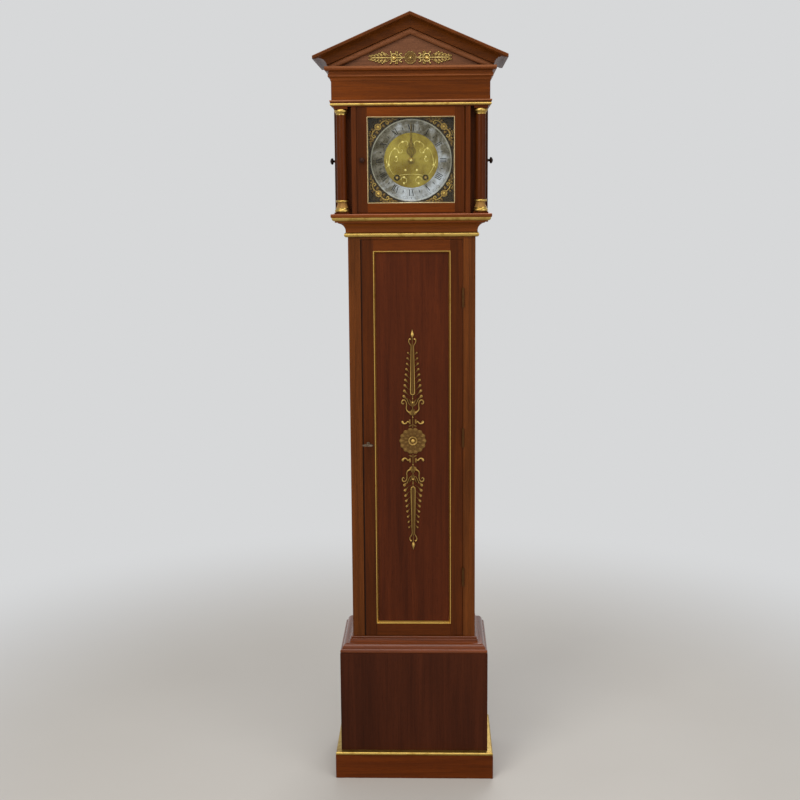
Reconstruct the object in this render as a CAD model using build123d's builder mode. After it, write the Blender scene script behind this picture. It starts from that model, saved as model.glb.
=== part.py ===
from build123d import *
import math
import os

# Pedimented longcase clock, millimetres. X to the right, Y to the back, Z up.
# The origin is on the floor, under the middle of the clock's bounding box.

# ---------------------------------------------------------------- driving dimensions
TRUNK_HALF = 166.5  # half width of the trunk; the other forms step out from it
BASE_STEP = 34.0
PLINTH_STEP = 15.0  # from the base
HOOD_STEP = 31.5
FRIEZE_STEP = 4.0  # from the hood
TRUNK_FRONT = -63.5
BACK = 137.5  # rear face of the case
BASE_OUT = 35.0  # how far the front faces stand forward of the trunk's
PLINTH_OUT = 14.0  # from the base
HOOD_OUT = 28.0
FRIEZE_OUT = 3.0  # from the hood

PLINTH_HEIGHT = 66.5
BASE_HEIGHT = 286.5
BASE_MOULDING_HEIGHT = 38.5
TRUNK_DOOR_HEIGHT = 1078.5
THROAT_GAP = 7.0  # between the trunk door and the bead of the throat
THROAT_HEIGHT = 12.5
COVE_HEIGHT = 26.0
HOOD_BASE_HEIGHT = 21.5
COLUMN_HEIGHT = 271.5
ARCHITRAVE_HEIGHT = 16.0
FRIEZE_HEIGHT = 48.0
CORNICE_HEIGHT = 35.0
RAKE = 23.24  # slope of the pediment in degrees
RAKE_HEIGHT = 46.5  # thickness of the sloping cornice, square to its slope
PEDIMENT_IN = 20.4  # the soffits meet the cornice's top this far in from the frieze's ends

BOARD = 16.0  # thickness of the case boards
THIN_BOARD = 12.0  # backboard and floor
BEAM_DEPTH = 32.0  # the beams above the columns, from the frieze's face inwards
GLUE = 0.1  # glue line between two boards or moulding runs
CLEAR = 0.3  # free room round a loose piece
RUNNING = 0.05  # radial room of a pivot in its hole
DOOR_GAP = 1.0  # room round a door

TRUNK_FRAME = 33.0  # from the trunk's side to its door
TRUNK_DOOR_THICK = 20.0
TRUNK_STILE = 32.5  # width of the trunk door's stiles
TRUNK_TOP_RAIL = 29.5
TRUNK_BOTTOM_RAIL = 33.5
PANEL_IN = 8.5  # the panel's face behind the door's
PANEL_THICK = 8.0

HOOD_FRAME = 59.5  # from the hood's side to its door
HOOD_DOOR_THICK = 18.0
HOOD_STILE = 26.5
HOOD_TOP_RAIL = 24.5
HOOD_BOTTOM_RAIL = 23.6
GLASS_IN = 11.5  # the glass behind the door's face
GLASS_THICK = 2.0
MASK_OPENING = 114.0  # half width of the opening that frames the dial

DIAL_IN = 27.5  # the dial behind the door's face
DIAL_HALF = 117.0
DIAL_THICK = 2.0
DIAL_DROP = 0.8  # the dial's centre below the middle of the door
RING_OUTER = 105.0
RING_INNER = 70.3
WINDING_X = 37.0  # winding arbors, from the centre of the dial
WINDING_DROP = 44.0
WINDING_HOLE = 6.0

COLUMN_IN = 19.3  # the columns' axes, from the hood's sides
COLUMN_BACK = 13.5  # and behind the hood door's face
COLUMN_RADIUS = 13.0

PLATE_HALF = 94.0  # movement plates
PLATE_GAP = 30.0  # from the dial back to the front plate
PLATE_SPACE = 51.0  # from face to face of the two plates
PLATE_RISE = 92.0  # above and below the dial's centre
SEAT_DROP = 102.0
SEAT_THICK = 20.0
PLATE_THICK = 3.0
ARBOR = 1.5
BARREL_ARBOR = 3.0
CENTRE_ARBOR = 2.5
CANNON_RADIUS = 4.0
STUD_RADIUS = 2.0
BARREL_RADIUS = 17.0
FLANGE = 4.0  # how far a barrel's flanges stand out
LINE_RADIUS = 1.0

TRAIN_MODULE = 0.7
GREAT_TEETH = 96
CENTRE_PINION_TEETH = 8
CENTRE_TEETH = 60
THIRD_PINION_TEETH = 8
THIRD_TEETH = 56
ESCAPE_PINION_TEETH = 7
ESCAPE_TEETH = 30
ESCAPE_RADIUS = 20.0
ESCAPE_RISE = 42.0  # above the dial's centre
ANCHOR_RISE = 70.0
MOTION_DISTANCE = 27.0  # from the centre down to the minute wheel's stud
CANNON_TEETH = 18
MINUTE_TEETH = 54
MINUTE_PINION_TEETH = 18
HOUR_TEETH = 72

PENDULUM_LENGTH = 994.0  # beats seconds
PENDULUM_BACK = 33.0  # behind the back plate
SPRING_LENGTH = 44.0  # from the top of the pendulum's spring to its foot
CRUTCH_LENGTH = 142.0
BOB_RADIUS = 80.0
BOB_HALF_THICK = 13.0
BOB_RIM = 2.0
ROD_RADIUS = 2.5
LINE_LENGTH = 505.0  # from a barrel down to its weight's loop
LOOP_HEIGHT = 25.0
WEIGHT_HEIGHT = 180.0
WEIGHT_RADIUS = 29.0

HAMMER_X = -32.0
HAMMER_RISE = 45.0  # above the dial's centre
HAMMER_LENGTH = 12.0
HAMMER_REST = 1.3  # room between the resting hammer and the bell
BELL_RADIUS = 38.0
BELL_HEIGHT = 36.0
BELL_LIFT = 10.0  # the bell's rim above the plates

PIVOT_IN = 5.0  # a pivot-hung door turns this far in from its edge and its face
PIVOT_RADIUS = 1.5
PIVOT_LENGTH = 7.0
PLATE_SEAT = 0.7  # thickness of a pivot's plate
HINGE_IN = 167.0  # the lowest hinge's middle above the door's lower edge
HINGE_HALF = 25.0
KNUCKLE_RADIUS = 3.0
KEY_IN = 14.5  # the key's axis in from the door's edge
KEY_RISE = 537.0  # above the door's lower edge
KEY_RADIUS = 2.5
KEY_REACH = 10.0  # from the key's axis to the tip of its bit
KEY_START = 30.0  # the bit stands this many degrees past upright
BOLT_LIFT = 6.7
BOLT_HEIGHT = 10.0

CORNER_IN = 33.5  # boards behind the columns, from the hood door's face
SIDE_STILE = 23.0  # in front of a side door
SIDE_REAR_STILE = 32.5
SIDE_BOTTOM_RAIL = 24.5
SIDE_TOP_RAIL = 21.0
SIDE_DOOR_THICK = 14.0

# ---------------------------------------------------------------- places that follow
TAN = math.tan(math.radians(RAKE))
COS = math.cos(math.radians(RAKE))
SIN = math.sin(math.radians(RAKE))

BASE_HALF = TRUNK_HALF + BASE_STEP
PLINTH_HALF = BASE_HALF + PLINTH_STEP
HOOD_HALF = TRUNK_HALF + HOOD_STEP
FRIEZE_HALF = HOOD_HALF + FRIEZE_STEP
TRUNK_INNER = TRUNK_HALF - BOARD
BASE_FRONT = TRUNK_FRONT - BASE_OUT
PLINTH_FRONT = BASE_FRONT - PLINTH_OUT
HOOD_DOOR_FRONT = TRUNK_FRONT - HOOD_OUT
FRIEZE_FRONT = HOOD_DOOR_FRONT - FRIEZE_OUT

PLINTH_TOP = PLINTH_HEIGHT
BASE_TOP = PLINTH_TOP + BASE_HEIGHT
BASE_MOULDING_TOP = BASE_TOP + BASE_MOULDING_HEIGHT
TRUNK_DOOR_BOTTOM = BASE_MOULDING_TOP + 1.5
TRUNK_DOOR_TOP = TRUNK_DOOR_BOTTOM + TRUNK_DOOR_HEIGHT
THROAT_BOTTOM = TRUNK_DOOR_TOP + THROAT_GAP
COVE_BOTTOM = THROAT_BOTTOM + THROAT_HEIGHT
HOOD_BASE_BOTTOM = COVE_BOTTOM + COVE_HEIGHT
HOOD_BASE_TOP = HOOD_BASE_BOTTOM + HOOD_BASE_HEIGHT
BEAM_BOTTOM = HOOD_BASE_TOP + COLUMN_HEIGHT
FRIEZE_BOTTOM = BEAM_BOTTOM + ARCHITRAVE_HEIGHT
FRIEZE_TOP = FRIEZE_BOTTOM + FRIEZE_HEIGHT
CORNICE_TOP = FRIEZE_TOP + CORNICE_HEIGHT
SOFFIT_APEX = CORNICE_TOP + (FRIEZE_HALF - PEDIMENT_IN) * TAN

TRUNK_DOOR_HALF = TRUNK_HALF - TRUNK_FRAME
PANEL_FACE = TRUNK_FRONT + PANEL_IN
HOOD_DOOR_HALF = HOOD_HALF - HOOD_FRAME
HOOD_DOOR_OPENING = HOOD_DOOR_HALF - HOOD_STILE
HOOD_DOOR_BOTTOM = HOOD_BASE_TOP + 4.1
HOOD_DOOR_TOP = BEAM_BOTTOM - DOOR_GAP
GLAZED_LOW = HOOD_DOOR_BOTTOM + HOOD_BOTTOM_RAIL
GLAZED_HIGH = HOOD_DOOR_TOP - HOOD_TOP_RAIL
GLASS_FACE = HOOD_DOOR_FRONT + GLASS_IN
COLUMN_X = HOOD_HALF - COLUMN_IN
COLUMN_Y = HOOD_DOOR_FRONT + COLUMN_BACK
CORNER_FACE = HOOD_DOOR_FRONT + CORNER_IN
SIDE_DOOR_FRONT = CORNER_FACE + SIDE_STILE
SIDE_DOOR_BACK = BACK - SIDE_REAR_STILE
SIDE_DOOR_BOTTOM = HOOD_BASE_TOP + SIDE_BOTTOM_RAIL
SIDE_DOOR_TOP = BEAM_BOTTOM - SIDE_TOP_RAIL

DIAL_Z = (HOOD_DOOR_BOTTOM + HOOD_DOOR_TOP) / 2 - DIAL_DROP
DIAL_FACE = HOOD_DOOR_FRONT + DIAL_IN
WINDING_Z = DIAL_Z - WINDING_DROP
FRONT_PLATE = DIAL_FACE + PLATE_GAP  # front faces of the two plates
BACK_PLATE = FRONT_PLATE + PLATE_SPACE
BACK_FACE = BACK_PLATE + PLATE_THICK
PLATE_TOP = DIAL_Z + PLATE_RISE
SEAT_TOP = DIAL_Z - SEAT_DROP
SEAT_FRONT = FRONT_PLATE - 11.0
SEAT_BACK = BACK_FACE + 20.0
LINE_Y = FRONT_PLATE + 24.0

GREAT_DISTANCE = math.hypot(WINDING_X, WINDING_DROP)
GREAT_MODULE = 2 * GREAT_DISTANCE / (GREAT_TEETH + CENTRE_PINION_TEETH)
CENTRE_TO_THIRD = TRAIN_MODULE * (CENTRE_TEETH + THIRD_PINION_TEETH) / 2
THIRD_TO_ESCAPE = TRAIN_MODULE * (THIRD_TEETH + ESCAPE_PINION_TEETH) / 2
THIRD_RISE = (CENTRE_TO_THIRD**2 - THIRD_TO_ESCAPE**2 + ESCAPE_RISE**2) / (2 * ESCAPE_RISE)
THIRD_X = math.sqrt(CENTRE_TO_THIRD**2 - THIRD_RISE**2)
THIRD_Z = DIAL_Z + THIRD_RISE
ESCAPE_Z = DIAL_Z + ESCAPE_RISE
ANCHOR_Z = DIAL_Z + ANCHOR_RISE
MINUTE_Z = DIAL_Z - MOTION_DISTANCE
CANNON_MODULE = 2 * MOTION_DISTANCE / (CANNON_TEETH + MINUTE_TEETH)
HOUR_MODULE = 2 * MOTION_DISTANCE / (MINUTE_PINION_TEETH + HOUR_TEETH)

PENDULUM_Y = BACK_PLATE + PENDULUM_BACK
BOB_Z = ANCHOR_Z - PENDULUM_LENGTH
HOOK_TOP = WINDING_Z - LINE_LENGTH
WEIGHT_BOTTOM = HOOK_TOP - LOOP_HEIGHT - WEIGHT_HEIGHT
HAMMER_Z = DIAL_Z + HAMMER_RISE
BELL_X = HAMMER_X - HAMMER_LENGTH / 2 - HAMMER_REST - BELL_RADIUS
BELL_Y = FRONT_PLATE + 31.5
BELL_RIM = PLATE_TOP + BELL_LIFT

HINGE_X = TRUNK_DOOR_HALF + DOOR_GAP / 2
HINGE_Y = TRUNK_FRONT - KNUCKLE_RADIUS - 0.2
LOWEST_HINGE = TRUNK_DOOR_BOTTOM + HINGE_IN
HIGHEST_HINGE = TRUNK_DOOR_TOP - HINGE_IN + 15.5
HINGE_Z = (LOWEST_HINGE, (LOWEST_HINGE + HIGHEST_HINGE) / 2 + 5, HIGHEST_HINGE)
KEY_X = KEY_IN - TRUNK_DOOR_HALF
KEY_Z = TRUNK_DOOR_BOTTOM + KEY_RISE
BOLT_BOTTOM = KEY_Z + BOLT_LIFT

os.makedirs("parts", exist_ok=True)


# ---------------------------------------------------------------- shared shapes
def save(builder, label):
    """Label a finished sub-part and write it."""
    builder.part.label = label
    export_step(builder.part, f"parts/{label}.step")


def facing(y, x=0.0, z=0.0):
    """Plane that looks to the front, with its own x to the right and y up."""
    return Plane(origin=(x, y, z), x_dir=(1, 0, 0), z_dir=(0, -1, 0))


def board(x0, x1, y0, y1, z0, z1, mode=Mode.ADD):
    """Square-edged block between the given faces."""
    with Locations(((x0 + x1) / 2, (y0 + y1) / 2, (z0 + z1) / 2)):
        Box(x1 - x0, y1 - y0, z1 - z0, mode=mode)


def board_pair(x0, x1, y0, y1, z0, z1):
    """The same board on the right and on the left."""
    board(x0, x1, y0, y1, z0, z1)
    board(-x1, -x0, y0, y1, z0, z1)


def disc(x, z, front, back, radius, bore=0.0, mode=Mode.ADD):
    """Round piece on an axis that runs from front to back."""
    with BuildSketch(facing(back, x, z)) as section:
        Circle(radius)
        if bore:
            Circle(bore, mode=Mode.SUBTRACT)
    extrude(section.sketch, amount=back - front, mode=mode)


def rod(x, y, z0, z1, radius, bore=0.0, mode=Mode.ADD):
    """Upright round piece."""
    with BuildSketch(Plane.XY.offset(z0)) as section:
        with Locations((x, y)):
            Circle(radius)
            if bore:
                Circle(bore, mode=Mode.SUBTRACT)
    extrude(section.sketch, amount=z1 - z0, mode=mode)


def closed_outline(steps):
    """Face from a list of points; a pair of points is an arc through the first to the second."""
    with BuildLine() as border:
        here = steps[0]
        for step in steps[1:]:
            if isinstance(step[0], tuple):
                ThreePointArc(here, step[0], step[1])
                here = step[1]
            else:
                Line(here, step)
                here = step
        Line(here, steps[0])
    make_face(border.edges())


def turned(x, y, steps, mode=Mode.ADD):
    """Turned piece on an upright axis, from its (radius, height) outline."""
    with BuildSketch(Plane(origin=(x, y, 0), x_dir=(1, 0, 0), z_dir=(0, -1, 0))) as section:
        closed_outline(steps)
    revolve(section.sketch, axis=Axis((x, y, 0), (0, 0, 1)), mode=mode)


def dome(start, top):
    """Arc from a (radius, height) point to the axis at the given height, centred on the axis."""
    radius, height = start
    centre = (top**2 - radius**2 - height**2) / (2 * (top - height))
    sphere = abs(top - centre)
    half = math.atan2(radius, abs(height - centre)) / 2
    side = math.copysign(1, top - centre)
    return ((sphere * math.sin(half), centre + side * sphere * math.cos(half)), (0, top))


def knob(origin, outward, length, radius):
    """Turned knob that stands out from a face in the given direction."""
    shoulder = (radius * 0.72, length * 0.86)
    steps = [
        (0, 0),
        (radius * 0.6, 0),
        (radius * 0.6, length * 0.1),
        ((radius * 0.36, length * 0.28), (radius * 0.5, length * 0.45)),
        ((radius, length * 0.64), shoulder),
        dome(shoulder, length),
    ]
    across = Vector(0, 0, 1).cross(Vector(*outward))
    with BuildSketch(Plane(origin=origin, x_dir=(0, 0, 1), z_dir=across)) as section:
        closed_outline(steps)
    revolve(section.sketch, axis=Axis(origin, outward))


def cut_by(shape, origin, keep_side):
    """Keep the part of a shape on the keep_side of a plane through origin, less half a glue line."""
    side = Vector(*keep_side).normalized()
    plane = Plane(origin=Vector(*origin) + side * (GLUE / 2), z_dir=side)
    return split(shape, bisect_by=plane, keep=Keep.TOP, mode=Mode.PRIVATE)


def mirrored(shape, plane):
    """Mirror image of a piece."""
    return mirror(shape, about=plane, mode=Mode.PRIVATE)


def moulding(steps, half, front, reach):
    """Front, right and left runs of a moulding with mitred front corners.

    The outline is (out, height), out from the case's face; reach is its greatest projection.
    """
    with BuildPart() as front_run:
        with BuildSketch(Plane(origin=(0, front, 0), x_dir=(0, -1, 0), z_dir=(-1, 0, 0))):
            closed_outline(steps)
        extrude(amount=half + reach, both=True)
    with BuildPart() as side_run:
        with BuildSketch(Plane(origin=(half, BACK, 0), x_dir=(1, 0, 0), z_dir=(0, -1, 0))):
            closed_outline(steps)
        extrude(amount=BACK - front + reach)
    middle = cut_by(front_run.part, (half, front, 0), (-1, -1, 0))
    middle = cut_by(middle, (-half, front, 0), (1, -1, 0))
    right = cut_by(side_run.part, (half, front, 0), (1, 1, 0))
    return [middle, right, mirrored(right, Plane.YZ)]


def frame_bead(steps, half, low, high, face):
    """Four mitred runs of a bead inside a square opening; the outline is (in, forward)."""
    middle = (low + high) / 2
    with BuildPart() as upright:
        with BuildSketch(Plane(origin=(half, face, middle), x_dir=(-1, 0, 0), z_dir=(0, 0, 1))):
            closed_outline(steps)
        extrude(amount=(high - low) / 2, both=True)
    with BuildPart() as level:
        with BuildSketch(Plane(origin=(0, face, high), x_dir=(0, 0, -1), z_dir=(-1, 0, 0))):
            closed_outline(steps)
        extrude(amount=half, both=True)
    right = cut_by(upright.part, (half, face, high), (1, 0, -1))
    right = cut_by(right, (half, face, low), (1, 0, 1))
    top = cut_by(level.part, (half, face, high), (-1, 0, 1))
    top = cut_by(top, (-half, face, high), (1, 0, 1))
    bottom = mirrored(top, Plane.XY.offset(middle))
    return [right, mirrored(right, Plane.YZ), top, bottom]


def gear(x, z, front, back, teeth, module, turn, bore=0.0, leaves=False):
    """Toothed wheel with a tooth centred at the angle turn; a pinion has longer, slimmer leaves."""
    pitch_radius = module * teeth / 2
    tip = pitch_radius + module * (0.55 if leaves else 0.85)
    root = pitch_radius - module * (1.25 if leaves else 1.0)
    step = 360.0 / teeth
    half_root = step * 0.19
    half_tip = step * 0.07
    points = []
    for tooth in range(teeth):
        middle = turn + tooth * step
        for radius, angle in (
            (root, middle - half_root),
            (tip, middle - half_tip),
            (tip, middle + half_tip),
            (root, middle + half_root),
        ):
            bearing = math.radians(angle)
            points.append((radius * math.cos(bearing), radius * math.sin(bearing)))
    with BuildSketch(facing(back, x, z)) as section:
        with BuildLine():
            Polyline(*points, close=True)
        make_face()
        if bore:
            Circle(bore, mode=Mode.SUBTRACT)
    extrude(section.sketch, amount=back - front)


def crossings(x, z, front, back, inner, outer, count):
    """Openings between the spokes of a wheel."""
    spoke = 4.0
    with BuildSketch(facing(back, x, z)) as section:
        Circle(outer)
        Circle(inner, mode=Mode.SUBTRACT)
        with PolarLocations(0, count):
            with Locations(((inner + outer) / 2, 0)):
                Rectangle(outer, spoke, mode=Mode.SUBTRACT)
    extrude(section.sketch, amount=back - front, mode=Mode.SUBTRACT)


# ---------------------------------------------------------------- plinth and base
with BuildPart() as plinth_boards:
    board(-PLINTH_HALF, PLINTH_HALF, PLINTH_FRONT, BASE_FRONT, 0, PLINTH_TOP)
    board_pair(BASE_HALF, PLINTH_HALF, BASE_FRONT + GLUE, BACK, 0, PLINTH_TOP)
save(plinth_boards, "plinth_boards")

BASE_INNER = BASE_HALF - BOARD
BASE_INSIDE = BASE_FRONT + BOARD + GLUE
FLOOR_BOTTOM = 40.0
STRIP_BOTTOM = BASE_TOP - 13.0
with BuildPart() as base_boards:
    board(-BASE_HALF, BASE_HALF, BASE_FRONT, BASE_FRONT + BOARD, 10, BASE_TOP)
    board_pair(BASE_INNER, BASE_HALF, BASE_INSIDE, BACK, 10, BASE_TOP)
    inside = BASE_INNER - GLUE
    board(-inside, inside, BASE_INSIDE, BACK - THIN_BOARD, FLOOR_BOTTOM, FLOOR_BOTTOM + THIN_BOARD)
    board_pair(TRUNK_INNER, inside, BASE_INSIDE, BACK - THIN_BOARD, STRIP_BOTTOM, BASE_TOP)
    strip_end = TRUNK_INNER - GLUE
    strip_back = TRUNK_FRONT + TRUNK_DOOR_THICK
    board(-strip_end, strip_end, BASE_INSIDE, strip_back, STRIP_BOTTOM, BASE_TOP)
save(base_boards, "base_boards")

rim = BASE_STEP - 1  # the moulding stops just short of the base's edge
base_top_outline = [
    (0, BASE_TOP + GLUE),
    (rim - 2, BASE_TOP + GLUE),
    (rim - 2, BASE_TOP + 3),
    (rim, BASE_TOP + 3),
    ((rim + 0.4, BASE_TOP + 7), (rim - 3, BASE_TOP + 11.5)),
    (rim - 5, BASE_TOP + 11.5),
    ((25, BASE_TOP + 19.5), (12, BASE_TOP + 23.5)),
    (10.5, BASE_TOP + 24.5),
    (8, BASE_TOP + 25.5),
    (7, BASE_TOP + 28),
    ((8, BASE_TOP + 30.6), (5, BASE_TOP + 32.6)),
    (4, BASE_TOP + 33.2),
    ((5.4, BASE_TOP + 35.6), (3, BASE_MOULDING_TOP)),
    (0, BASE_MOULDING_TOP),
]
with BuildPart() as base_top_moulding:
    add(moulding(base_top_outline, TRUNK_HALF, TRUNK_FRONT, 40))
save(base_top_moulding, "base_top_moulding")

# ---------------------------------------------------------------- trunk
STILE_INNER = TRUNK_DOOR_HALF + DOOR_GAP
with BuildPart() as trunk_boards:
    board_pair(TRUNK_INNER, TRUNK_HALF, TRUNK_FRONT, BACK, BASE_TOP, HOOD_BASE_TOP)
    cheek_bottom = HOOD_BASE_TOP + GLUE
    board_pair(TRUNK_INNER, TRUNK_HALF, SEAT_FRONT, SEAT_BACK, cheek_bottom, SEAT_TOP - SEAT_THICK)
    front_back = TRUNK_FRONT + TRUNK_DOOR_THICK
    stile_end = TRUNK_INNER - GLUE
    board_pair(STILE_INNER, stile_end, TRUNK_FRONT, front_back, BASE_TOP, HOOD_BASE_TOP)
    rail_end = STILE_INNER - GLUE
    top_rail = TRUNK_DOOR_TOP + DOOR_GAP
    bottom_rail = TRUNK_DOOR_BOTTOM - DOOR_GAP
    board(-rail_end, rail_end, TRUNK_FRONT, front_back, top_rail, HOOD_BASE_TOP)
    board(-rail_end, rail_end, TRUNK_FRONT, front_back, BASE_TOP, bottom_rail)
save(trunk_boards, "trunk_boards")

with BuildPart() as backboard:
    back_face = BACK - THIN_BOARD
    board(-BASE_INNER + GLUE, BASE_INNER - GLUE, back_face, BACK, 10, BASE_TOP)
    board(-TRUNK_INNER, TRUNK_INNER, back_face, BACK, BASE_TOP + GLUE, HOOD_BASE_TOP)
    hood_inner = HOOD_HALF - BOARD
    upper_inner = FRIEZE_HALF - BEAM_DEPTH
    board(-hood_inner, hood_inner, back_face, BACK, HOOD_BASE_TOP + GLUE, BEAM_BOTTOM - GLUE)
    board(-upper_inner, upper_inner, back_face, BACK, BEAM_BOTTOM, CORNICE_TOP)
save(backboard, "backboard")

cove_outline = [
    (0, COVE_BOTTOM),
    (5.5, COVE_BOTTOM),
    ((9.5, COVE_BOTTOM + 16), (23.5, HOOD_BASE_BOTTOM - 2)),
    (23.5, HOOD_BASE_BOTTOM - GLUE),
    (0, HOOD_BASE_BOTTOM - GLUE),
]
with BuildPart() as throat_cove_moulding:
    add(moulding(cove_outline, TRUNK_HALF, TRUNK_FRONT, 30))
save(throat_cove_moulding, "throat_cove_moulding")

# ---------------------------------------------------------------- hood
BEAD_SEAT = HOOD_BASE_BOTTOM + 3.8
BEAD_TOP = HOOD_BASE_BOTTOM + 12.5
BED_OUT = HOOD_STEP - 0.5
SLAB_OUT = HOOD_STEP + 9.5
hood_base_outline = [
    (0, HOOD_BASE_BOTTOM),
    (BED_OUT, HOOD_BASE_BOTTOM),
    (BED_OUT, BEAD_TOP),
    (SLAB_OUT - 1.5, BEAD_TOP),
    ((SLAB_OUT, BEAD_TOP + 2), (SLAB_OUT, BEAD_TOP + 4)),
    (SLAB_OUT, HOOD_BASE_TOP),
    (0, HOOD_BASE_TOP),
]
with BuildPart() as hood_base_moulding:
    add(moulding(hood_base_outline, TRUNK_HALF, TRUNK_FRONT, 50))
save(hood_base_moulding, "hood_base_moulding")

FRAME_BACK = DIAL_FACE + 2.0
MASK_FACE = DIAL_FACE - 6.0
FRAME_INNER = HOOD_DOOR_HALF + DOOR_GAP
SILL_TOP = HOOD_DOOR_BOTTOM - DOOR_GAP
with BuildPart() as hood_front_frame:
    frame_outer = FRAME_INNER + 12.5
    board_pair(FRAME_INNER, frame_outer, HOOD_DOOR_FRONT, FRAME_BACK, HOOD_BASE_TOP, BEAM_BOTTOM)
    corner_inner = frame_outer + GLUE
    corner_outer = HOOD_HALF - BOARD - GLUE
    corner_back = CORNER_FACE + THIN_BOARD
    board_pair(corner_inner, corner_outer, CORNER_FACE, corner_back, HOOD_BASE_TOP, BEAM_BOTTOM)
    inner = FRAME_INNER - GLUE
    board(-inner, inner, HOOD_DOOR_FRONT, FRAME_BACK, HOOD_BASE_TOP, SILL_TOP)
    mask_low = SILL_TOP + GLUE
    board_pair(MASK_OPENING, inner, MASK_FACE, DIAL_FACE, mask_low, BEAM_BOTTOM)
    mask_end = MASK_OPENING - GLUE
    board(-mask_end, mask_end, MASK_FACE, DIAL_FACE, DIAL_Z + MASK_OPENING, BEAM_BOTTOM)
    board(-mask_end, mask_end, MASK_FACE, DIAL_FACE, mask_low, DIAL_Z - MASK_OPENING)
save(hood_front_frame, "hood_front_frame")

with BuildPart() as hood_side_frames:
    side_inner = HOOD_HALF - BOARD
    opening_front = SIDE_DOOR_FRONT - DOOR_GAP
    opening_back = SIDE_DOOR_BACK + DOOR_GAP
    opening_low = SIDE_DOOR_BOTTOM - DOOR_GAP
    opening_high = SIDE_DOOR_TOP + DOOR_GAP
    board_pair(side_inner, HOOD_HALF, CORNER_FACE, opening_front, HOOD_BASE_TOP, BEAM_BOTTOM)
    board_pair(side_inner, HOOD_HALF, opening_back, BACK, HOOD_BASE_TOP, BEAM_BOTTOM)
    rail_front = opening_front + GLUE
    rail_back = opening_back - GLUE
    board_pair(side_inner, HOOD_HALF, rail_front, rail_back, HOOD_BASE_TOP, opening_low)
    board_pair(side_inner, HOOD_HALF, rail_front, rail_back, opening_high, BEAM_BOTTOM)
save(hood_side_frames, "hood_side_frames")

BLOCK_TOP = HOOD_BASE_TOP + 4.5
TORUS_TOP = BLOCK_TOP + 12.0
NECK_BOTTOM = TORUS_TOP + 14.0
SHAFT_BOTTOM = NECK_BOTTOM + 5.5
CAPITAL_TOP = BEAM_BOTTOM - 6.0
SHAFT_TOP = CAPITAL_TOP - 14.0
CORE = 10.0
column_outline = [
    (0, BLOCK_TOP),
    (CORE, BLOCK_TOP),
    (CORE, TORUS_TOP),
    (16.5, TORUS_TOP),
    ((13, TORUS_TOP + 6), (12.5, NECK_BOTTOM)),
    (CORE, NECK_BOTTOM),
    (CORE, SHAFT_BOTTOM),
    (COLUMN_RADIUS, SHAFT_BOTTOM),
    (COLUMN_RADIUS, SHAFT_TOP),
    (CORE, SHAFT_TOP),
    (CORE, CAPITAL_TOP),
    (0, CAPITAL_TOP),
]
with BuildPart() as columns:
    for sign in (-1, 1):
        x = sign * COLUMN_X
        turned(x, COLUMN_Y, column_outline)
        board(x - 19, x + 19, COLUMN_Y - 19, CORNER_FACE, HOOD_BASE_TOP, BLOCK_TOP)
        board(x - 17.5, x + 17.5, COLUMN_Y - 15.5, CORNER_FACE, CAPITAL_TOP, BEAM_BOTTOM)
save(columns, "columns")

BORE = CORE + CLEAR
torus_outline = [
    (BORE, BLOCK_TOP),
    (17, BLOCK_TOP),
    ((19, (BLOCK_TOP + TORUS_TOP - 3) / 2), (17, TORUS_TOP - 3)),
    (15.5, TORUS_TOP - 2.5),
    (15.5, TORUS_TOP),
    (BORE, TORUS_TOP),
]
neck_outline = [
    (BORE, NECK_BOTTOM),
    (15, NECK_BOTTOM),
    ((16.6, (NECK_BOTTOM + SHAFT_BOTTOM) / 2), (15, SHAFT_BOTTOM)),
    (BORE, SHAFT_BOTTOM),
]
capital_outline = [
    (BORE, SHAFT_TOP),
    (COLUMN_RADIUS, SHAFT_TOP),
    ((13.3, SHAFT_TOP + 2.5), (14.5, SHAFT_TOP + 5)),
    ((17.3, SHAFT_TOP + 9), (15.5, CAPITAL_TOP)),
    (BORE, CAPITAL_TOP),
]
with BuildPart() as column_mounts:
    for sign in (-1, 1):
        turned(sign * COLUMN_X, COLUMN_Y, torus_outline)
        turned(sign * COLUMN_X, COLUMN_Y, neck_outline)
        turned(sign * COLUMN_X, COLUMN_Y, capital_outline)
save(column_mounts, "column_mounts")

GILT_LOW = BEAM_BOTTOM + 2.0
GILT_HIGH = BEAM_BOTTOM + 9.0
architrave_outline = [
    (-BEAM_DEPTH, BEAM_BOTTOM),
    (0, BEAM_BOTTOM),
    (0, GILT_HIGH),
    (3.2, GILT_HIGH),
    (3.2, GILT_HIGH + 2.5),
    (4.5, GILT_HIGH + 3.5),
    (4.5, FRIEZE_BOTTOM),
    (-BEAM_DEPTH, FRIEZE_BOTTOM),
]
with BuildPart() as architrave_moulding:
    add(moulding(architrave_outline, FRIEZE_HALF, FRIEZE_FRONT, 10))
save(architrave_moulding, "architrave_moulding")

frieze_outline = [
    (-BOARD, FRIEZE_BOTTOM),
    (0, FRIEZE_BOTTOM),
    (0, FRIEZE_TOP),
    (-BOARD, FRIEZE_TOP),
]
with BuildPart() as frieze_boards:
    add(moulding(frieze_outline, FRIEZE_HALF, FRIEZE_FRONT, 10))
save(frieze_boards, "frieze_boards")

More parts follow.
